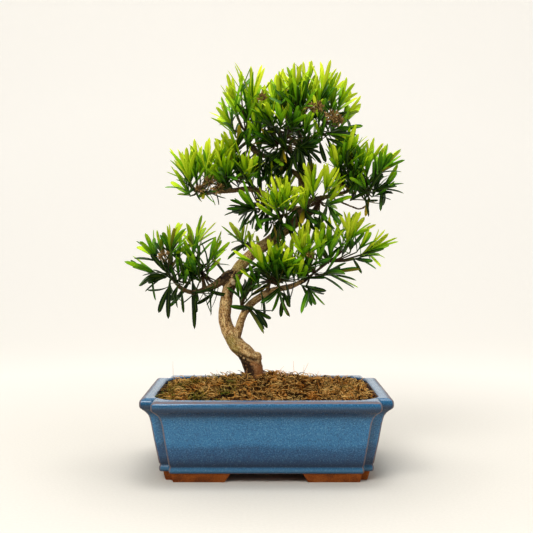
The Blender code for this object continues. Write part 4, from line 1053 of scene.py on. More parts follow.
    def build(self, glaze: Material, clay: Material) -> None:
        """Make the pot's mesh, and store where its glaze is thin, pooled with painted shade, or beaded."""
        rings = [raised(self.outline(inset, self.notch(z)), z) for z, inset in self.profile]
        rim = self.outline(self.profile[-1][1], self.notch(self.top))
        edge = self.inner(rim, *self.cavity[0][1:])
        rings += [raised([a.lerp(b, share) for a, b in zip(rim, edge)], self.top) for share in (0.35, 0.7)]
        rings += [raised(self.inner(rim, inset, radius), z) for z, inset, radius in self.cavity]
        self.made = closed_object("pot_body", rings)
        boolean(self.made, [self.foot(*signs) for signs in ((1, 1), (-1, 1), (-1, -1), (1, -1))], "UNION")
        boolean(self.made, [self.drain(x) for x in (-self.drain_x, self.drain_x)], "DIFFERENCE")
        mesh = self.made.data
        dress(mesh, glaze, clay)
        for face in mesh.polygons:
            face.material_index = int(self.is_bare(face.center / MM, face.normal))
        mesh.shade_smooth()
        mesh.set_sharp_from_angle(angle=math.radians(self.sharp_angle))
        values = [self.glaze_values(vert.co / MM) for vert in mesh.vertices]
        for name, row in zip(("edge", "pool_and_shade", "bead"), zip(*values)):
            set_values(mesh, name, row)

    def is_bare(self, middle: Vector, normal: Vector) -> bool:
        """Whether a face is bare clay: under the pot, and inside its room for the soil."""
        within = abs(middle.x) < self.half_length - self.wall and abs(middle.y) < self.half_width - self.wall
        inward = abs(normal.z) < self.level and normal.dot(Vector((middle.x, middle.y, 0))) < 0
        on_floor = normal.z > self.level and middle.z < self.floor
        in_room = within and inward and self.room[0] < middle.z < self.room[1]
        return middle.z < self.bare_up_to or in_room or on_floor

    def glaze_values(self, point: Vector) -> tuple[float, float, float]:
        """How thin, how pooled with painted shade, and how beaded the glaze is at a point."""
        x, y, z = abs(point.x), abs(point.y), point.z
        inset, notch = read_off(self.profile, z), self.notch(z)
        length, width, deep = self.half_length - inset, self.half_width - inset, self.notch_depth(notch)
        ridge = min(math.hypot(x - length, y - width + deep), math.hypot(x - length + notch, y - width))
        valley = math.hypot(x - length + notch, y - width + deep)
        off_wall = min(abs(x - length), abs(y - width))
        edge = max(0.0, 1 - max(0.0, ridge - self.ridge_flat) / self.ridge_fade)
        if z > self.lip:
            off_line = max(0.0, abs(z - self.lip_line) - self.lip_flat)
            off_skin = max(0.0, off_wall - self.lip_skin)
            fall, fall_in = self.lip_wear_falls
            edge = max(edge, self.lip_wear - fall * off_line - fall_in * off_skin)
            brink = self.inner([Vector((point.x, point.y))], *self.cavity[1][1:])[0]
            off_brink = math.hypot(brink.x - point.x, brink.y - point.y)
            edge = max(edge, self.brink_wear * max(0.0, 1 - off_brink / self.brink_width))
        if z < self.glazed_from:
            edge = max(edge, self.lowest_wear)
        # The notch's inner corner gets pooled glaze and painted shade.
        corner = self.valley_pool * max(0.0, 1 - valley / self.valley_width)
        pool_and_shade = max(corner, read_off(self.cove, z), read_off(self.groove, z))
        outside = off_wall < self.skin or (x > length - notch - 1 and y > width - deep - 1)
        bead = math.exp(-((z - self.bead_line) / self.bead_width) ** 2)
        # Inside the room, the inner wall just below the lip gets only painted shade.
        return edge, pool_and_shade if outside else held((self.shade_top - z) / self.shade_fade), bead


def round_corner(before: Vector, corner: Vector, after: Vector, radius: float, steps: int) -> list[Vector]:
    """Points round a square corner, from the side of the point before it to that of the one after."""
    to_before, to_after = (before - corner).normalized(), (after - corner).normalized()
    centre = corner + (to_before + to_after) * radius
    turns = [k / steps * math.pi / 2 for k in range(steps + 1)]
    return [centre - (to_after * math.cos(turn) + to_before * math.sin(turn)) * radius for turn in turns]


def smooth_path(path: Path, step: float) -> Curve:
    """The path as a smooth curve through its points, with radii, cut about every step millimetres."""
    points = [Vector(point) for point in path]
    fine: Curve = []
    for i in range(len(points) - 1):
        a, b = points[i], points[i + 1]
        before = points[i - 1] if i else a * 2 - b
        after = points[i + 2] if i + 2 < len(points) else b * 2 - a
        count = max(1, round((b - a).length / step))
        for k in range(count):
            t = k / count
            spot = (a * 2 + (b - before) * t + (before * 2 - a * 5 + b * 4 - after) * t ** 2
                    + (a * 3 - before - b * 3 + after) * t ** 3) / 2
            fine.append((spot.to_3d(), spot.w))
    fine.append((points[-1].to_3d(), points[-1].w))
    return fine


def tube(path: Curve, sides: int, swell: Callable[[int, float], float] | None = None) -> Skin:
    """A closed body along a path.

    Args:
        path: centre points with radii.
        sides: how many sides it has.
        swell: gives a factor for the radius at a path point and an angle.

    Returns:
        Its points and faces.
    """
    side = None
    rings = []
    for i, (centre, radius) in enumerate(path):
        ahead = (path[min(i + 1, len(path) - 1)][0] - path[max(i - 1, 0)][0]).normalized()
        if side is None:
            side = ahead.orthogonal().normalized()
        side = (side - ahead * side.dot(ahead)).normalized()
        other = ahead.cross(side)
        ring = []
        for k in range(sides):
            angle = 2 * math.pi * k / sides
            reach = radius * (swell(i, angle) if swell else 1.0)
            ring.append(centre + (side * math.cos(angle) + other * math.sin(angle)) * reach)
        rings.append(ring)
    return skin_rings(rings)


@dataclass
class Wood:
    """Trunk, second stem, limbs and root flare, grown together, with furrowed bark.

    The roots and the collar are paths. The scars and film spots are balls (x, y, z, radius). The
    crease, hollow, scar and joint are lines on the bark; a shade is a width and a darkness. The dark
    of the crease and the hollow is painted shade.
    """

    voxel: float = 0.85
    step: float = 2.5
    sides: int = 14
    roots: tuple[Path, ...] = (
        ((-10, -1, 99, 7.0), (-4.5, -3, 92, 5.5), (0.5, -4, 86, 4.0), (5, -5, 78, 2.5)),
        ((-16, -2, 99, 7.0), (-22, -5, 91, 5.0), (-28, -6, 83, 3.6), (-33, -8, 76, 2.4)),
        ((-13, -4, 98, 7.0), (-13, -9, 91, 5.6), (-12, -13, 84, 4.2), (-11, -17, 77, 2.6)),
        ((-14, 4, 99, 7.0), (-14, 9, 91, 5.6), (-16, 14, 83, 4.0), (-17, 18, 76, 2.5)))
    collar: Path = (
        (-39, 3, 212, 5.8), (-46, 2, 208.5, 5.2), (-56.5, 2, 200, 4.3), (-66, 1.5, 195.5, 3.4),
        (-76, 0.5, 192.5, 2.6))
    scars: Path = (
        (-49.5, -2.0, 174.5, 3.0), (-41.5, -2.5, 208, 3.4), (-18, -5.5, 232, 2.8), (31, -4.5, 268, 3.2),
        (-12.5, -7, 120.5, 4.0), (-20, -7, 158.5, 2.2))
    film_spots: Path = ((-40, -7, 137, 9.5), (-35, -8, 129, 7.5), (-30, -6, 222, 9.0), (6, -5, 254, 11.0))
    crease: tuple[Point, ...] = (
        (-38, -8, 126), (-30, -9, 124), (-22, -10.5, 120.5), (-16, -11, 119), (-11, -9, 118))
    hollow: tuple[Point, ...] = ((-29, -12, 116), (-23, -14, 111), (-20, -14, 104), (-20, -14, 99))
    scar: tuple[Point, ...] = ((-38, -6, 205), (-36.5, -6, 202))
    joint: tuple[Point, ...] = (
        (-50, -2, 208), (-43, -3, 211), (-37, -3, 214), (-38, -3, 203), (-37, -3, 188))
    red_up_to: Rows = ((-38, 126), (-12, 118.5), (0, 110))
    fold_above: Vector = Vector((1.0, 0, 3.4))
    # The way to the side of the stems that gets painted shade.
    lee_side: Vector = Vector((0.94, -0.1, -0.34))
    crease_width: float = 1.5
    crease_depth: float = 2.0
    fold_width: float = 2.4
    fold_height: float = 1.1
    scar_width: float = 2.6
    scar_height: float = 0.8
    hollow_width: float = 5.2
    hollow_depth: float = 2.6
    hollow_shade: tuple[float, float] = (5.8, 2.4)
    joint_width: float = 4.0
    joint_depth: float = 0.7
    joint_shade: tuple[float, float] = (4.4, 1.2)
    ridge_height: float = 0.42
    ring_height: float = 0.16
    grain_radius: float = 7.0
    grain_squeeze: float = 0.5
    grain_step: float = 40.0
    ring_turn: float = 2.3
    # Where the trunk turns young and darker; the darkening also paints the shade under the foliage.
    young_from: float = 222.0
    young_over: float = 60.0
    young_limb: float = 0.85
    young_stem: float = 0.25
    made: Object | None = field(default=None, repr=False)

    def paths(self) -> list[tuple[str, Curve]]:
        """Every stem as a smooth path, with its kind."""
        rows = [("trunk", TRUNK), ("knob", KNOB), ("stem", SECOND_STEM), ("limb", HANGING_TWIG)]
        rows += [("limb", path) for path in [*LIMBS.values(), self.collar]]
        rows += [("root", root) for root in self.roots]
        return [(kind, smooth_path(path, self.step)) for kind, path in rows]

    def build(self, bark: Material) -> None:
        """Make the wood's mesh, carve its bark and store its bark values."""
        paths = self.paths()
        points: list[Vector] = []
        faces: list[tuple[int, ...]] = []
        for number, (_, path) in enumerate(paths):
            def swell(i: int, angle: float, number: int = number) -> float:
                """A little unevenness, different on each stem."""
                here = Vector((math.cos(angle), math.sin(angle), i * 0.22 + number * 9))
                return 1 + 0.05 * noise.noise(here)
            shape = tube(path, self.sides, swell)
            faces += [tuple(corner + len(points) for corner in face) for face in shape[1]]
            points += shape[0]
        self.made = new_object("trunk_and_limbs", points, faces)
        turn_out(self.made.data)
        remesh = self.made.modifiers.new("grow_together", "REMESH")
        remesh.mode, remesh.voxel_size, remesh.use_smooth_shade = "VOXEL", self.voxel * MM, True
        smooth = self.made.modifiers.new("soften", "SMOOTH")
        smooth.factor, smooth.iterations = 0.5, 6
        mesh = bake(self.made)
        dress(mesh, bark)
        self.carve(mesh, paths)
        mesh.shade_smooth()

    def carve(self, mesh: Mesh, paths: Sequence[tuple[str, Curve]]) -> None:
        """Push the surface in and out as bark, and store what the bark's colours need."""
        samples = [(centre, radius, kind, number, k * self.step,
                    (path[min(k + 1, len(path) - 1)][0] - path[max(k - 1, 0)][0]).normalized())
                   for number, (kind, path) in enumerate(paths) for k, (centre, radius) in enumerate(path)]
        tree = KDTree(len(samples))
        for i, sample in enumerate(samples):
            tree.insert(sample[0], i)
        tree.balance()
        moved, rows = [], []
        for vert in mesh.vertices:
            spot = vert.co / MM
            close = [samples[i] for _, i, _ in tree.find_n(spot, 5)]
            centre, _, *stem = min(close, key=lambda sample: (sample[0] - spot).length - sample[1])
            depth, values = self.bark_values(spot, centre, *stem)
            moved.append((spot + vert.normal * depth) * MM)
            rows.append(values)
        for vert, place in zip(mesh.vertices, moved):
            vert.co = place
        for name in rows[0]:
            kind = "FLOAT_VECTOR" if name == "grain" else "FLOAT"
            set_values(mesh, name, [row[name] for row in rows], kind)

    def bark_values(self, spot: Vector, centre: Vector, kind: str, number: int, start: float,
                    ahead: Vector) -> tuple[float, dict[str, Any]]:
        """How the bark looks at a spot.

        Args:
            spot: the spot on the surface.
            centre: the nearest point on the stems' centre lines.
            kind: that stem's kind.
            number: that stem's number.
            start: how far along its stem the centre is.
            ahead: the way that the stem goes there.

        Returns:
            How far the bark stands out, and its values by name.
        """
        out = spot - centre
        length = start + out.dot(ahead)
        side = Vector((0, -1, 0)) - ahead * -ahead.y
        angle = math.atan2(out.dot(ahead.cross(side)), out.dot(side))
        grain = Vector((math.cos(angle) * self.grain_radius, math.sin(angle) * self.grain_radius,
                        length * self.grain_squeeze + number * self.grain_step))
        young = {"trunk": held((spot.z - self.young_from) / self.young_over), "limb": self.young_limb,
                 "stem": self.young_stem}.get(kind, 0.0)
        ridge = noise.noise(grain / 3.0) + 0.5 * noise.noise(grain / 1.3)
        rings = math.sin(length * self.ring_turn + 3 * noise.noise(grain / 4))
        uneven = 0.75 + 0.5 * noise.noise(spot / 2.5)
        ragged = 0.9 + 1.7 * noise.noise(spot / 2.2)
        # Closeness to the crease: a carved line, with painted shadow under the fold.
        crease_shade = self.closeness(spot, self.crease, self.crease_width)
        scar = self.closeness(spot, self.scar, self.scar_width)
        shade = max(crease_shade, *(power * self.closeness(spot, line, width) * ragged for line, (width, power)
                             in ((self.hollow, self.hollow_shade), (self.joint, self.joint_shade))))
        # Painted shade on the side away from the key lamp.
        side_shade = out.normalized().dot(self.lee_side) if out.length > 0.1 else 0.0
        depth = self.ridge_height * ridge * (1 - 0.4 * young) + self.ring_height * rings * young
        depth -= self.crease_depth * crease_shade
        depth += self.fold_height * self.closeness(spot - self.fold_above, self.crease, self.fold_width)
        depth += sum(self.scar_height * nearness(spot, ball) for ball in self.scars)
        depth -= (self.hollow_depth * self.closeness(spot, self.hollow, self.hollow_width) * uneven
                  + self.joint_depth * self.closeness(spot, self.joint, self.joint_width) * ragged)
        red = min(0.3 + (read_off(self.red_up_to, spot.x) - spot.z) / 9, 1.6 - 0.1 * abs(spot.z - 106))
        return depth, {
            "grain": grain * MM,
            "foot": max(held(red), 0.9 - 0.12 * (spot - Vector(KNOB[2][:3])).length),
            "film": max(nearness(spot, ball) for ball in self.film_spots),
            "young": young,
            "crease_shade": -scar if scar > 0.3 else held(shade),
            "side_shade": held((side_shade - 0.1) / 0.7)}

    def closeness(self, spot: Vector, line: Sequence[Point], width: float) -> float:
        """1 on a line of points, falling towards 0 about its width away."""
        best = 1e9
        for start, end in zip(line, line[1:]):
            a, b = Vector(start), Vector(end)
            off = spot - a.lerp(b, held((spot - a).dot(b - a) / (b - a).length_squared))
            best = min(best, math.hypot(off.x, 0.35 * off.y, off.z))
        return math.exp(-(best / width) ** 2)


@dataclass
class Bed:
    """The mat of moss over the soil, and the strands and straws that stand up from it.

    The lumps are rows of width and height. Each straw is its foot, its tip and its radius.
    """

    edge: float = 82.5
    crown: float = 16.0
    mound_centre: tuple[float, float] = (-1.5, 0.0)
    mound_reach: tuple[float, float] = (62.0, 50.0)
    lumps: Rows = ((14.0, 2.8), (6.5, 2.0), (3.1, 1.0))
    soil_edge: float = 77.0
    soil_crown: float = 11.0
    gap: float = 0.3
    stem_centre: tuple[float, float] = (-13.5, 0.0)
    stem_radius: float = 12.5
    rings: int = 26
    roll: float = 1.8
    cell: float = 6.0
    reach: tuple[float, float] = (118.0, 87.0)
    corner: float = 29.0
    sunk: float = 2.6
    calm: float = 14.0
    strands: int = 5300
    strewn: tuple[float, float] = (110.0, 79.0)
    straw_bow: float = 0.12
    straws: tuple[tuple[Point, Point, float], ...] = (
        ((31, -30, 99), (29, -26, 119), 0.22), ((36, -24, 99), (45, -28, 117), 0.26),
        ((40, -20, 99), (41, -16, 113), 0.2), ((24, -34, 98), (17, -38, 110), 0.25),
        ((-101, -22, 84), (-98, -26, 104), 0.3), ((-97, 0, 84), (-86, -36, 92), 0.34),
        ((-104, 20, 84), (-106, 24, 112), 0.2), ((-60, 10, 90), (-74, 2, 98), 0.3),
        ((-33, -14, 96), (-22, -18, 104), 0.3), ((-30, 12, 97), (-40, 4, 104), 0.3),
        ((66, -20, 92), (78, -26, 99), 0.3), ((88, 24, 88), (80, 20, 97), 0.26),
        ((10, 40, 92), (20, 46, 104), 0.25), ((-50, 48, 86), (-58, 50, 99), 0.25),
        ((52, 44, 86), (60, 38, 99), 0.28))
    straw_tone: float = 0.58
    mat: Object | None = field(default=None, repr=False)
    fibres: Object | None = field(default=None, repr=False)

    def mound(self, x: float, y: float) -> float:
        """0 at the pot's wall to 1 beside the foot of the tree."""
        across, deep = ((value - centre) / reach for value, centre, reach
                        in zip((x, y), self.mound_centre, self.mound_reach))
        return math.exp(-across ** 2 - deep ** 2)

    def to_wall(self, x: float, y: float) -> float:
        """How far a spot is from the pot's inner wall, in the plan."""
        across, deep = abs(x) - self.reach[0] + self.corner, abs(y) - self.reach[1] + self.corner
        return self.corner - math.hypot(max(across, 0.0), max(deep, 0.0)) - min(max(across, deep), 0.0)

    def height(self, x: float, y: float) -> float:
        """How high the mat stands, with tufts, sunk a little beside the wall."""
        place = Vector((x, y, 0.5))
        near = held(1 - self.to_wall(x, y) / self.calm)
        lumps = sum(high * noise.noise(place / wide) for wide, high in self.lumps)
        return self.edge - self.sunk * near + self.crown * self.mound(x, y) + lumps * (1 - 0.7 * near)

    def under(self, x: float, y: float) -> float:
        """How high the mat's lower side is, just clear of the soil."""
        return self.soil_edge + self.soil_crown * self.mound(x, y) + self.gap

    def outline(self, pot: Pot, z: float) -> list[Vector]:
        """The pot's inner wall at a height, drawn in by the gap, cut evenly."""
        rows = tuple(sorted(pot.cavity))
        ring = pot.outline(0.0, pot.notch_at_lip)
        long_ring = []
        for i, point in enumerate(ring):
            following = ring[(i + 1) % len(ring)]
            count = max(1, round((following - point).length / self.cell))
            long_ring += [point.lerp(following, k / count) for k in range(count)]
        return pot.inner(long_ring, read_off(rows, z) + self.gap, read_off(rows, z, 2))

    def ring(self, wall: Sequence[Vector], share: float, lift: Callable[[float, float], float],
             roll: float = 0.0) -> list[Vector]:
        """A ring between the wall and the stem.

        Args:
            wall: the wall's plan.
            share: how far it is on the way from the wall to the stem.
            lift: gives the height at a spot.
            roll: how much lower the ring is than that.

        Returns:
            The ring's points.
        """
        centre = Vector(self.stem_centre)
        spots = [point.lerp(centre + (point - centre).normalized() * self.stem_radius, share)
                 for point in wall]
        return [Vector((spot.x, spot.y, lift(spot.x, spot.y) - roll)) for spot in spots]

    def build(self, pot: Pot, mat: Material, strand: Material) -> None:
        """Make the mat and its strands."""
        wall, low = self.outline(pot, self.edge), self.outline(pot, self.soil_edge)
        rings = [self.ring(low, share, self.under) for share in (1.0, 0.5, 0.0)]
        for k in range(self.rings + 1):
            share = k / self.rings
            roll = self.roll * max(0.0, 1 - share * self.rings / 2) ** 2
            rings.append(self.ring(wall, share, self.height, roll))
        points, faces = skin_rings(rings, close=False)
        count, last = len(wall), (len(rings) - 1) * len(wall)
        faces += [(last + i, last + (i + 1) % count, (i + 1) % count, i) for i in range(count)]
        self.mat = new_object("moss_mat", points, faces)
        mesh = self.mat.data
        turn_out(mesh)
        dress(mesh, mat)
        mesh.shade_smooth()
        rooms = [self.to_wall(vert.co.x / MM, vert.co.y / MM) / self.calm for vert in mesh.vertices]
        set_values(mesh, "room", [held(room, 0.25) for room in rooms])
        self.fibres = self.grow(strand)

    def grow(self, look: Material) -> Object:
        """Strands scattered over the mat's top by a node tree, as one plain mesh."""
        grown = self.mat.copy()
        grown.data = self.mat.data.copy()
        grown.name = "moss_strands"
        bpy.context.scene.collection.objects.link(grown)
        modifier = grown.modifiers.new("strands", "NODES")
        modifier.node_group = strand_tree()
        area = 4 * self.strewn[0] * self.strewn[1] * MM * MM
        set_inputs(modifier, {"Density": self.strands / area, "Seed": SEED, "Material": look})
        self.add_straws(bake(grown))
        return grown

    def add_straws(self, mesh: Mesh) -> None:
        """Add the few long dry straws that stand out of the moss to its strands."""
        work = bmesh.new()
        work.from_mesh(mesh)
        tone, rise = (work.verts.layers.float[name] for name in ("tone", "rise"))
        look = next(iter(work.faces)).material_index
        for foot, tip, radius in self.straws:
            a, b = Vector(foot), Vector(tip)
            bow = Vector((a.y - b.y, b.x - a.x, 0)) * self.straw_bow
            path = [(a.lerp(b, t) + bow * math.sin(math.pi * t), 0.95 * radius * (1 - 0.55 * t))
                    for t in (0, 0.25, 0.5, 0.75, 1)]
            points, faces = tube(path, 5)
            corners = [work.verts.new(point * MM) for point in points]
            for corner in corners:
                corner[tone], corner[rise] = self.straw_tone, 1.0
            for face in faces:
                made = work.faces.new([corners[i] for i in face])
                made.smooth, made.material_index = True, look
        work.to_mesh(mesh)
        work.free()


# The bends of the moss strands: the middle (x, y, z) and the end (x, y, z) of each arc.
STRAND_BENDS = (
    (0.5, 0.45, 0.2, 0.8, -0.1, 0.0), (0.4, -0.5, 0.4, 0.9, 0.2, 0.1), (0.2, 0.5, 0.45, 0.75, 0.5, 0.2),
    (0.9, 0.3, 0.3, 0.35, 0.6, -0.05), (0.3, -0.2, 0.5, 0.6, 0.1, 0.5))


def strand_tree() -> NodeTree:
    """The node tree that scatters bent moss strands over the faces that look up."""
    inputs = {"Geometry": "Geometry", "Density": 200000.0, "Thickness": 0.54, "Length": 12.0, "Seed": 1,
              "Material": "Material"}
    tree, web, given, result = new_tree("moss_strands", "Geometry", inputs, "Geometry", "Geometry")
    up = web.math("GREATER_THAN", web.split(web.node("GeometryNodeInputNormal"))[2], 0.35)
    spread = web.node("GeometryNodeDistributePointsOnFaces", {
        "Mesh": given["Geometry"], "Selection": up, "Density": given["Density"], "Seed": given["Seed"]})
    profile = web.node("GeometryNodeCurvePrimitiveCircle", {
        "Resolution": 3, "Radius": web.times(given["Thickness"], MM)})
    metres = web.times(given["Length"], MM)
    kinds = web.node("GeometryNodeGeometryToInstance")
    for bend in STRAND_BENDS:
        arc = web.node("GeometryNodeCurveQuadraticBezier", {
            "Resolution": 5, "Start": (0.0, 0.0, -0.05), "Middle": bend[:3], "End": bend[3:]})
        scale = web.node("ShaderNodeCombineXYZ", {0: metres, 1: metres, 2: metres})
        sized = web.node("GeometryNodeTransform", {"Geometry": arc, "Scale": scale})
        share = web.node("GeometryNodeSplineParameter").outputs[0]
        web.feed(kinds.inputs[0], web.node("GeometryNodeCurveToMesh", {
            "Curve": web.store(sized, "rise", share), "Profile Curve": profile, "Fill Caps": True,
            "Scale": web.fit(share, 0.0, 1.0, 1.0, 0.5)}))
    turn = web.random_value("FLOAT_VECTOR", (-0.4, -0.4, 0.0), (0.4, 0.4, 2 * math.pi), 1)
    size = web.times(web.random_value("FLOAT", 0.55, 1.35, 2), web.named("room", "FLOAT"))
    placed = web.node("GeometryNodeInstanceOnPoints", {
        "Points": spread, "Instance": kinds, "Pick Instance": True, "Rotation": turn, "Scale": size})
    toned = web.store(placed, "tone", web.random_value("FLOAT", 0.0, 1.0, 3), "INSTANCE")
    real = web.node("GeometryNodeRealizeInstances", {"Geometry": toned})
    web.feed(result, web.node("GeometryNodeSetMaterial", {"Geometry": real, "Material": given["Material"]}))
    return tree


# A strap leaf's half width and its thickness, along it from its foot to its tip.
LEAF_WIDTH = [(0, 0.28), (0.1, 0.44), (0.24, 0.76), (0.42, 0.96), (0.62, 1.0), (0.8, 0.94), (0.92, 0.7),
              (0.97, 0.46), (1, 0.1)]
LEAF_THICKNESS = [(0, 1.3), (0.2, 1.0), (0.8, 0.75), (1, 0.2)]


def blade_tree() -> NodeTree:
    """The node tree of one strap leaf: half a unit wide each side, one unit long, along +Z.

    Its face looks along +Y. It stores how far along and across the leaf each point is.
    """
    inputs = {"Bend": 0.1, "Fold": 0.01, "Thickness": 0.012, "Sway": 0.0}
    tree, web, given, result = new_tree("strap_leaf", "Geometry", inputs, "Geometry", "Geometry")
    shape = web.node("GeometryNodeMeshCylinder", {
        "Vertices": 8, "Side Segments": 6, "Radius": 1.0, "Depth": 1.0}).outputs["Mesh"]
    across, through, up = web.split(web.node("GeometryNodeInputPosition"))
    along = web.less(1.0, web.math("POWER", web.math("SUBTRACT", 0.5, up, clamp=True), 1.45))
    under = web.math("LESS_THAN", through, -0.1)
    for name, value in (("along", along), ("across", across), ("under", under)):
        shape = web.store(shape, name, value)
    x = web.times(across, web.curve(along, LEAF_WIDTH))
    thickness = web.times(given["Thickness"], web.curve(along, LEAF_THICKNESS))
    middle = web.math("SUBTRACT", 1.0, web.math("ABSOLUTE", across), clamp=True)
    groove = web.times(web.times(middle, web.math("GREATER_THAN", through, 0.5)), -0.75)
    thick = web.times(thickness, web.plus(through, groove))
    lifted = web.times(web.math("ABSOLUTE", x), given["Fold"])
    bent = web.times(web.times(along, along), given["Bend"])
    sway = web.times(web.math("SINE", web.times(along, math.pi)), given["Sway"])
    spot = web.node("ShaderNodeCombineXYZ", {
        0: web.plus(x, sway), 1: web.less(web.plus(thick, lifted), bent), 2: along})
    web.feed(result, web.node("GeometryNodeSetPosition", {"Geometry": shape, "Position": spot}))
    return tree


def spray_tree() -> NodeTree:
    """The node tree of a spray: stems swept along its edges, leaves and buds set on its points."""
    inputs = {"Geometry": "Geometry", "Leaf": "Material", "Shoot": "Material", "Leaf Thickness": 0.011,
              "Bend": 1.0}
    tree, web, given, result = new_tree("spray", "Geometry", inputs, "Geometry", "Geometry")
    stems = web.node("GeometryNodeCurveToMesh", {
        "Curve": web.node("GeometryNodeMeshToCurve", {"Mesh": given["Geometry"]}),
        "Profile Curve": web.node("GeometryNodeCurvePrimitiveCircle", {"Resolution": 6, "Radius": 1.0}),
        "Fill Caps": True, "Scale": web.named("thick", "FLOAT")})
    kinds = web.node("GeometryNodeGeometryToInstance")
    blade = blade_tree()
    for bend, fold, sway in LEAF_KINDS:
        web.feed(kinds.inputs[0], web.group(blade, {
            "Bend": web.times(given["Bend"], bend), "Fold": fold, "Thickness": given["Leaf Thickness"],
            "Sway": sway}))
    placed = web.node("GeometryNodeInstanceOnPoints", {
        "Points": given["Geometry"], "Selection": web.math("GREATER_THAN", web.named("leafy", "FLOAT"), 0.5),
        "Instance": kinds, "Pick Instance": True, "Instance Index": web.named("kind", "INT"),
        "Rotation": web.named("turn", "FLOAT_VECTOR"), "Scale": web.named("size", "FLOAT_VECTOR")})
    leaves = web.node("GeometryNodeRealizeInstances", {"Geometry": placed})
    both = web.node("GeometryNodeJoinGeometry")
    for part, look in ((stems, "Shoot"), (leaves, "Leaf")):
        feeds = {"Geometry": part, "Material": given[look]}
        web.feed(both.inputs[0], web.node("GeometryNodeSetMaterial", feeds))
    web.feed(result, web.node("GeometryNodeSetShadeSmooth", {"Geometry": both}))
    return tree


# Kinds of leaf: how far the tip bends back, how far the edges lift, and how far it sways sideways.
LEAF_KINDS = (
    (0.0, 0.026, 0.15), (0.06, 0.03, -0.2), (0.12, 0.022, 0.25), (0.2, 0.016, -0.3), (-0.05, 0.032, 0.2))
YOUNG_KINDS = (0, 1, 4)
OLD_KINDS = (1, 2, 3)
BUD_TONE = 2.0

# The front view that the shoots are drawn in: how far away and how high the eye is.
VIEW_DISTANCE = 1250.0
VIEW_HEIGHT = 244.7


def from_view(x: float, y: float, z: float) -> Vector:
    """The real place of a point drawn in the front view, at a depth."""
    spread = 1 + y / VIEW_DISTANCE
    return Vector((x * spread, y, VIEW_HEIGHT + (z - VIEW_HEIGHT) * spread))


def to_view(point: Vector) -> tuple[float, float]:
    """Where a real point is drawn in the front view."""
    spread = 1 + point.y / VIEW_DISTANCE
    return point.x / spread, VIEW_HEIGHT + (point.z - VIEW_HEIGHT) / spread


def hull(points: Sequence[tuple[float, float]]) -> Plan:
    """The convex outline of flat points, counter-clockwise."""
    rows = sorted(set(points))

    def half(row: Sequence[tuple[float, float]]) -> Plan:
        """One side of the outline."""
        line: Plan = []
        for x, z in row:
            while len(line) > 1 and ((line[-1][0] - line[-2][0]) * (z - line[-2][1])
                                     - (line[-1][1] - line[-2][1]) * (x - line[-2][0])) <= 0:
                line.pop()
            line.append((x, z))
        return line[:-1]

    return half(rows) + half(rows[::-1])


def beyond(point: tuple[float, float], outline: Plan) -> float:
    """How far a flat point lies outside an outline, below 0 inside it."""
    far = -1e9
    for i, (x, z) in enumerate(outline):
        next_x, next_z = outline[(i + 1) % len(outline)]
        dx, dz = next_x - x, next_z - z
        far = max(far, ((point[0] - x) * dz - (point[1] - z) * dx) / math.hypot(dx, dz))
    return far


@dataclass(frozen=True)
class Habit:
    """How a spray grows: its painted shade (darker leaves; below 0, painted light), how full it is, and its
    leaves on a hanging shoot.
    """

    shade: float = 0.0
    fullness: float = 1.0
    hanging: int = 2


HABITS = {
    "crown_left": Habit(-0.08, 0.7, 6), "crown_right": Habit(-0.02, 0.65), "crown_front": Habit(0.36, 1.2, 6),
    "crown_back": Habit(0.15), "left_outer": Habit(-0.1, 0.75, 4), "left_inner": Habit(-0.04),
    "middle_left": Habit(0.18, 0.55, 5), "middle_front": Habit(-0.06, 0.7),
    "middle_right": Habit(-0.08, 0.8, 4), "right_inner": Habit(0.2), "right_outer": Habit(0.18, 0.55),
    "lower_left_outer": Habit(0.26, 0.4),
    "lower_left_inner": Habit(0.16, 0.45), "trunk_shoot": Habit(0.06, 0.3), "fork_shoot": Habit(0.48, 0.35),
    "lower_right_inner": Habit(0.1, 0.9), "lower_right_outer": Habit(-0.12, 0.5),
}


@dataclass
class Shoot:
    """A leafy shoot: a stem from its foot along its axis, with the tips drawn for it."""

    foot: Vector
    axis: Vector
    stem: float
    tips: list[Vector]
    drawn: bool
    filler: float = 0.0


@dataclass
class Leaf:
    """One leaf's place and looks."""

    root: Vector
    tip: Vector
    face: Vector
    width: float
    age: float
    tone: float
    kind: int

    def turn(self) -> tuple[float, ...]:
        """The rotation that lays a strap leaf along this one."""
        along = (self.tip - self.root).normalized()
        return tuple(Matrix((self.face.cross(along), self.face, along)).transposed().to_euler())

    def size(self) -> tuple[float, ...]:
        """The scale of this leaf, in metres."""
        length = (self.tip - self.root).length * MM
        return self.width / 2 * MM, length, length


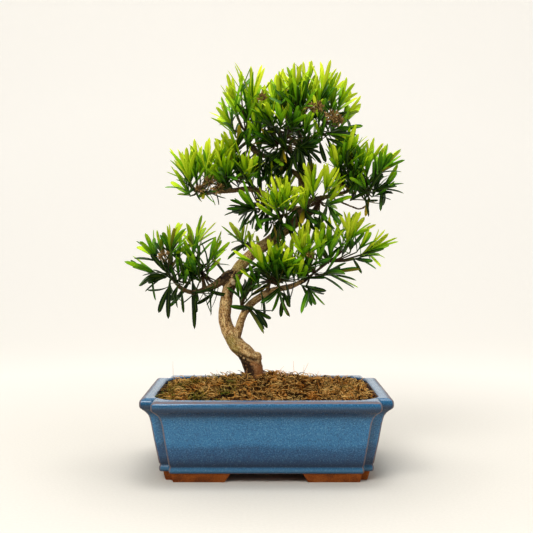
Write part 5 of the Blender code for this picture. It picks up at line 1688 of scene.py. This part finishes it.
@dataclass
class Spray:
    """The foliage on one limb: a twig from its seat, shoots along it, and their leaves."""

    name: str
    twig: Sequence[Point]
    drawn: Sequence[tuple[Point, Plan, float]]
    rng: random.Random
    neck: float = 3.0
    twig_radius: float = 1.5
    shoot_radius: float = 1.1
    leaf_length: float = 38.5
    leaf_width: float = 4.9
    leaf_width_shares: tuple[float, float] = (0.76, 1.18)
    young_up_to: float = 0.5
    spiral_length: tuple[float, float] = (42.0, 33.0)
    spiral_lean: tuple[float, float] = (62.0, 10.0)
    filler_reach: float = 0.82
    filler_length: tuple[float, float] = (25.0, 42.0)
    more_leaves: int = 7
    filler_leaves: int = 8
    slack: tuple[float, float] = (-5.0, 5.5)
    shortest: float = 29.0
    bud_scales: int = 70
    bud_width: float = 1.3
    partner_stray: float = 5.0
    partner_drop: float = 4.0
    splay: float = 0.4
    most_splay: float = 14.0
    lift: float = 8.0
    stem_share: float = 0.36
    filler_splay: float = 0.25
    filler_stray: float = 6.0
    filler_stem_share: float = 0.3
    least_depth: float = 3.0
    hanging_below: float = -0.1
    lean_stray: float = 8.0
    drawn_younger: float = 0.1
    spiral_older: float = 0.09
    age_base: float = 0.58
    age_by_rise: float = 0.26
    age_by_level: float = 0.4
    age_by_height: float = 0.38
    # Depth inside the outline darkens a leaf as painted shade.
    age_by_depth: float = 0.03
    most_age_by_depth: float = 0.5
    age_spread: float = 0.28

    @property
    def habit(self) -> Habit:
        """The way that this spray grows."""
        return HABITS.get(self.name, Habit())

    def hubs(self) -> list[Vector]:
        """The points that the twig runs through, from its seat on the end of its stem."""
        path = {"crown_top": TRUNK, "lower_right_outer": SECOND_STEM}.get(self.name) or LIMBS[self.name]
        seat, before = Vector(path[-1][:3]), Vector(path[-2][:3])
        neck = seat + (seat - before).normalized() * self.neck
        return [seat, neck, *map(Vector, self.twig)]

    def shoots(self) -> list[Shoot]:
        """Every shoot, the drawn ones and those in front of them or behind."""
        rows = []
        for place, tips, partner in self.drawn:
            for step in ([0, partner] if partner else [0]):
                foot = from_view(*place)
                if step:
                    stray = self.rng.uniform(-self.partner_stray, self.partner_stray)
                    foot += Vector((stray, step, -self.partner_drop))
                reach = [from_view(x, place[1], z) - from_view(*place) for x, z in tips]
                splay = held(self.splay * foot.y, -self.most_splay, self.most_splay)
                axis = (sum(reach, Vector()) / len(reach) + Vector((0, splay, self.lift))).normalized()
                stem = self.stem_share * sum(span.length for span in reach) / len(reach)
                rows.append(Shoot(foot, axis, stem, [from_view(x, foot.y, z) for x, z in tips], step == 0))
        for x, y, z, tip_x, tip_z in FILLERS[self.name]:
            foot = from_view(x, y, z)
            splay = self.filler_splay * y + self.rng.uniform(-self.filler_stray, self.filler_stray)
            reach = from_view(tip_x, y, tip_z) - foot + Vector((0, splay, 0))
            stem = self.filler_stem_share * reach.length
            rows.append(Shoot(foot, reach.normalized(), stem, [], False, reach.length))
        return rows

    def facing(self, along: Vector, axis: Vector) -> Vector:
        """The way a leaf's upper side looks: to its shoot, to the light and a little at random."""
        stray = Vector([self.rng.uniform(-1, 1) for _ in range(3)])
        wish = (axis - along * axis.dot(along)).normalized() * 0.8 + Vector((0, -0.2, 0.25)) + stray * 0.65
        wish -= along * wish.dot(along)
        return wish.normalized()

    def leaf(self, root: Vector, tip: Vector, axis: Vector, age: float, width: float) -> Leaf:
        """A leaf with its looks drawn at random from its age."""
        kind = self.rng.choice(YOUNG_KINDS if age < self.young_up_to else OLD_KINDS)
        face = self.facing((tip - root).normalized(), axis)
        width *= self.rng.uniform(*self.leaf_width_shares)
        return Leaf(root, tip, face, width, age, self.rng.random(), kind)

    def outline(self) -> Plan:
        """The spray's outline in the front view."""
        spots = [spot for place, tips, _ in self.drawn for spot in tips + [(place[0], place[2])]]
        spots += [spot for x, _, z, tip_x, tip_z in FILLERS[self.name] for spot in ((x, z), (tip_x, tip_z))]
        return hull(spots)

    def leaves(self, shoots: Sequence[Shoot], wood: BVHTree) -> list[Leaf]:
        """The drawn leaves and those that fill the shoots, clear of the wood.

        Args:
            shoots: the spray's shoots.
            wood: a search tree of the wood, in metres.

        Returns:
            The leaves.
        """
        edge = self.outline()
        found = []
        for shoot in shoots:
            found += self.drawn_leaves(shoot, edge) + self.spiral_leaves(shoot, edge, wood)
        return found + self.buds()

    def drawn_leaves(self, shoot: Shoot, edge: Plan) -> list[Leaf]:
        """The leaves whose tips are drawn, turned in depth by what their length leaves over."""
        found = []
        for k, drawn in enumerate(shoot.tips if shoot.drawn else ()):
            root = shoot.foot + shoot.axis * shoot.stem * (0.1 + 0.85 * k / len(shoot.tips))
            flat = Vector((drawn.x, root.y, drawn.z)) - root
            wanted = self.leaf_length * self.rng.uniform(0.92, 1.12)
            depth = math.sqrt(max(wanted ** 2 - flat.length ** 2, self.least_depth ** 2))
            tip = root + flat + Vector((0, depth * (1 if k % 2 else -1), 0))
            age = self.age(root, tip, edge) - self.drawn_younger
            found.append(self.leaf(root, tip, shoot.axis, age, self.leaf_width))
        return found

    def spiral_leaves(self, shoot: Shoot, edge: Plan, wood: BVHTree) -> list[Leaf]:
        """The leaves round a shoot, each cut back to the outline or left out where it can't be."""
        found = []
        first = self.rng.uniform(0, 2 * math.pi)
        across = shoot.axis.orthogonal().normalized()
        count = round((self.filler_leaves if shoot.filler else self.more_leaves) * self.habit.fullness)
        if shoot.axis.z < self.hanging_below:
            count = self.habit.hanging
        low_length, high_length = self.spiral_length
        low_lean, high_lean = self.spiral_lean
        for k in range(count):
            share = (k + 0.5) / count
            root = shoot.foot + shoot.axis * shoot.stem * (0.05 + 0.95 * share)
            lean = low_lean - (low_lean - high_lean) * share ** 0.6
            lean += self.rng.uniform(-self.lean_stray, self.lean_stray)
            out = Matrix.Rotation(first + k * GOLDEN_ANGLE, 3, shoot.axis) @ across
            way = shoot.axis * math.cos(math.radians(lean)) + out * math.sin(math.radians(lean))
            length = (low_length - (low_length - high_length) * share) * self.rng.uniform(0.82, 1.08)
            if shoot.filler:
                length = held(self.filler_reach * shoot.filler, *self.filler_length)
                length *= self.rng.uniform(0.85, 1.12)
            slack = self.rng.uniform(*self.slack)
            while length > self.shortest and beyond(to_view(root + way * length), edge) > slack:
                length *= 0.95
            tip = root + way * length
            off_edge = beyond(to_view(tip), edge) > self.slack[1] + 3.0
            if not off_edge and not wood.ray_cast(root * MM, way, length * MM)[0]:
                age = self.age(root, tip, edge) + self.spiral_older
                found.append(self.leaf(root, tip, shoot.axis, age, self.leaf_width))
        return found

    def buds(self) -> list[Leaf]:
        """The short curled scales of the dried buds."""
        found = []
        for x, y, z, reach in BUDS.get(self.name, ()):
            middle = from_view(x, y, z)
            for _ in range(self.bud_scales):
                way = Vector([self.rng.gauss(0, 1) for _ in range(3)]).normalized()
                root = middle + way * reach * self.rng.uniform(0.0, 0.5)
                tip = root + (way + Vector((0, 0, 0.3))).normalized() * reach * self.rng.uniform(0.3, 0.6)
                one = self.leaf(root, tip, way.orthogonal(), self.rng.uniform(0, 1), self.bud_width)
                found.append(replace(one, tone=BUD_TONE, kind=self.rng.choice(OLD_KINDS)))
        return found

    def age(self, root: Vector, tip: Vector, edge: Plan) -> float:
        """0 for the youngest leaves, high and upright, and 1 or more for the oldest, with painted shade added
        deep inside the outline and by the spray's shade.
        """
        rise = (tip - root).normalized().z
        low, high = min(z for _, z in edge), max(z for _, z in edge)
        place = to_view(tip)
        height = (place[1] - low) / (high - low)
        inside = max(0.0, -beyond(place, edge))
        level = max(0.0, 0.6 - abs(rise))
        value = self.age_base - self.age_by_rise * rise + self.age_by_level * level
        value = value - self.age_by_height * height + min(self.most_age_by_depth, self.age_by_depth * inside)
        value += self.rng.uniform(-self.age_spread, self.age_spread)
        # The spray's shade darkens its leaves as painted shade; a shade below 0 lightens them as painted
        # light.
        return max(0.0, value + self.habit.shade)

    def build(self, tree: NodeTree, wood: BVHTree, leaf: Material, shoot: Material) -> Object:
        """Make the spray's mesh from its points by the node tree."""
        hubs, shoots = self.hubs(), self.shoots()
        leaves = self.leaves(shoots, wood)
        points, edges = list(hubs), [(i, i + 1) for i in range(len(hubs) - 1)]
        thick, ages = [self.twig_radius] * len(hubs), [1.0] * len(hubs)
        for one in shoots:
            hub = min(hubs[1:], key=lambda point: (point - one.foot).length)
            middle = hub.lerp(one.foot, 0.5) + Vector((0, 0, -1.5))
            first = len(points)
            points += [hub, middle, one.foot]
            points += [one.foot + one.axis * one.stem * 0.5, one.foot + one.axis * one.stem]
            edges += [(first + i, first + i + 1) for i in range(4)]
            girth = self.shoot_radius * (0.75 if one.filler else 1.0)
            thick += [girth * size for size in (1.15, 1.05, 1.0, 0.85, 0.55)]
            ages += [0.9, 0.7, 0.45, 0.2, 0.0]
        stems, count = len(points), len(leaves)
        made = new_object(self.name + "_leaves", points + [one.root for one in leaves], edges=edges)
        blank = [(0.0, 0.0, 0.0)] * stems
        for name, kind, on_stems, on_leaves in (
                ("turn", "FLOAT_VECTOR", blank, [one.turn() for one in leaves]),
                ("size", "FLOAT_VECTOR", blank, [one.size() for one in leaves]),
                ("thick", "FLOAT", [size * MM for size in thick], [0.0] * count),
                ("leafy", "FLOAT", [0.0] * stems, [1.0] * count),
                ("age", "FLOAT", ages, [one.age for one in leaves]),
                ("tone", "FLOAT", [0.5] * stems, [one.tone for one in leaves]),
                ("kind", "INT", [0] * stems, [one.kind for one in leaves])):
            set_values(made.data, name, on_stems + on_leaves, kind)
        modifier = made.modifiers.new("spray", "NODES")
        modifier.node_group = tree
        set_inputs(modifier, {"Leaf": leaf, "Shoot": shoot})
        mesh = bake(made)
        for name in ("turn", "size", "thick", "leafy", "kind"):
            if name in mesh.attributes:
                mesh.attributes.remove(mesh.attributes[name])
        return made


@dataclass
class Studio:
    """A pale sweep, soft lamps and the camera at the photograph's place.

    Each lamp has a place, a width and a height, all in metres, a power and a colour.
    """

    distance: float = 1050.0
    height: float = 246.0
    tilt: float = -1.4
    lens: float = 64.25
    sensor: float = 36.0
    clip: tuple[float, float] = (0.05, 60.0)
    light: str = "fdfaf4"
    air: float = 0.22
    aim: Point = (0.0, 0.0, 0.2)
    floor_front: float = -4000.0
    bend_start: float = 1200.0
    bend_radius: float = 1400.0
    half_width: float = 6000.0
    wall_top: float = 6000.0
    lamps: tuple[tuple[str, Point, tuple[float, float], float, Point], ...] = (
        ("key", (-0.7, -1.15, 1.5), (0.7, 0.7), 17.0, (1.0, 0.985, 0.96)),
        ("strip", (-0.27, -1.2, 1.3), (0.16, 1.2), 7.0, (1.0, 0.99, 0.975)),
        ("fill", (1.4, -1.0, 0.7), (0.9, 0.9), 5.0, (0.97, 0.98, 1.0)),
        ("top", (0.1, 0.1, 1.7), (0.9, 0.9), 22.0, (1.0, 0.99, 0.975)))

    def build(self, effects: Effects) -> None:
        """Set the sweep, the lamps, the sky and the camera."""
        scene = bpy.context.scene
        scene.view_settings.view_transform = "Standard"
        self.sweep(effects)
        for name, place, size, power, colour in self.lamps:
            light = bpy.data.lights.new(name, "AREA")
            light.shape, (light.size, light.size_y) = "RECTANGLE", size
            light.energy, light.color = power, colour
            aim = Vector(self.aim) - Vector(place)
            self.stand(name, light, place, aim.to_track_quat("-Z", "Y").to_euler())
        world = bpy.data.worlds.new("studio_air")
        scene.world = world
        world.use_nodes = True
        air = world.node_tree.nodes["Background"].inputs
        air[0].default_value, air[1].default_value = tint(self.light), self.air
        camera = bpy.data.cameras.new("camera")
        camera.lens, camera.sensor_width = self.lens, self.sensor
        camera.clip_start, camera.clip_end = self.clip
        turn = (math.radians(90 + self.tilt), 0, 0)
        scene.camera = self.stand("camera", camera, (0, -self.distance * MM, self.height * MM), turn)

    def stand(self, name: str, data: Any, place: Point, turn: Sequence[float]) -> Object:
        """Put up a lamp or a camera."""
        made = bpy.data.objects.new(name, data)
        made.location, made.rotation_euler = place, turn
        bpy.context.scene.collection.objects.link(made)
        return made

    def sweep(self, effects: Effects) -> None:
        """The floor, which curves up into the backdrop behind the tree."""
        turns = [k * math.pi / 48 for k in range(1, 25)]
        line = [(self.floor_front, 0.0), (self.bend_start, 0.0)]
        line += [(self.bend_start + self.bend_radius * math.sin(turn),
                  self.bend_radius - self.bend_radius * math.cos(turn)) for turn in turns]
        line.append((self.bend_start + self.bend_radius, self.wall_top))
        points = [(x, y, z) for x in (-self.half_width, self.half_width) for y, z in line]
        count = len(line)
        faces = [(i, count + i, count + i + 1, i + 1) for i in range(count - 1)]
        floor = new_object("studio_sweep", points, faces)
        floor.data.shade_smooth()
        dress(floor.data, PaperFinish(self.light).build("pale_paper", effects))


def show(piece: Object, slot: Slot, *nodes: str) -> None:
    """Attach a finished piece to the root body, hide the CAD nodes that it stands for, and log its triangles.
    """
    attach(piece, BODY)
    if nodes:
        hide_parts(*nodes)
    LOG.info("%s: %d triangles", piece.name, sum(len(face.vertices) - 2 for face in piece.data.polygons))


def redress(node: str, look: Material) -> None:
    """Give a CAD node that stays a better material."""
    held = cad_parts[node]
    for place in held.material_slots:
        place.material = look
    LOG.info("%s: kept, with material %s", node, look.name)


def main() -> None:
    """Build the studio, the pot, the bed, the wood and the sprays."""
    logging.basicConfig(level=logging.INFO, format="%(name)s %(message)s")
    effects = Effects()
    Studio().build(effects)
    pot = Pot()
    pot.build(GlazeFinish().build("blue_glaze", effects), ClayFinish().build("bare_clay", effects))
    show(pot.made, Slot.GLAZE, "pot")
    bed = Bed()
    mat, strand = MossFinish(False).build("moss_mat", effects), MossFinish(True).build("moss_strand", effects)
    bed.build(pot, mat, strand)
    show(bed.mat, Slot.MOSS, "moss")
    show(bed.fibres, Slot.MOSS)
    redress("soil", SoilFinish().build("crumbly_soil", effects))
    plastic = ScreenFinish().build("screen_plastic", effects)
    for node in ("drain_screen_left", "drain_screen_right"):
        redress(node, plastic)
    wood = Wood()
    wood.build(BarkFinish().build("bark", effects))
    show(wood.made, Slot.BARK, "wood")
    tree = spray_tree()
    leaf, shoot = LeafFinish().build("leaf", effects), TwigFinish().build("shoot", effects)
    search = search_tree(wood.made)
    for number, (name, (twig, drawn)) in enumerate(SPRAYS.items()):
        spray = Spray(name, twig, drawn, random.Random(SEED + number))
        show(spray.build(tree, search, leaf, shoot), Slot.LEAF, name)


def search_tree(target: Object) -> BVHTree:
    """A search tree of an object's faces, in metres."""
    return BVHTree.FromPolygons([vert.co for vert in target.data.vertices],
                                [tuple(face.vertices) for face in target.data.polygons])


if __name__ == "__main__":
    main()
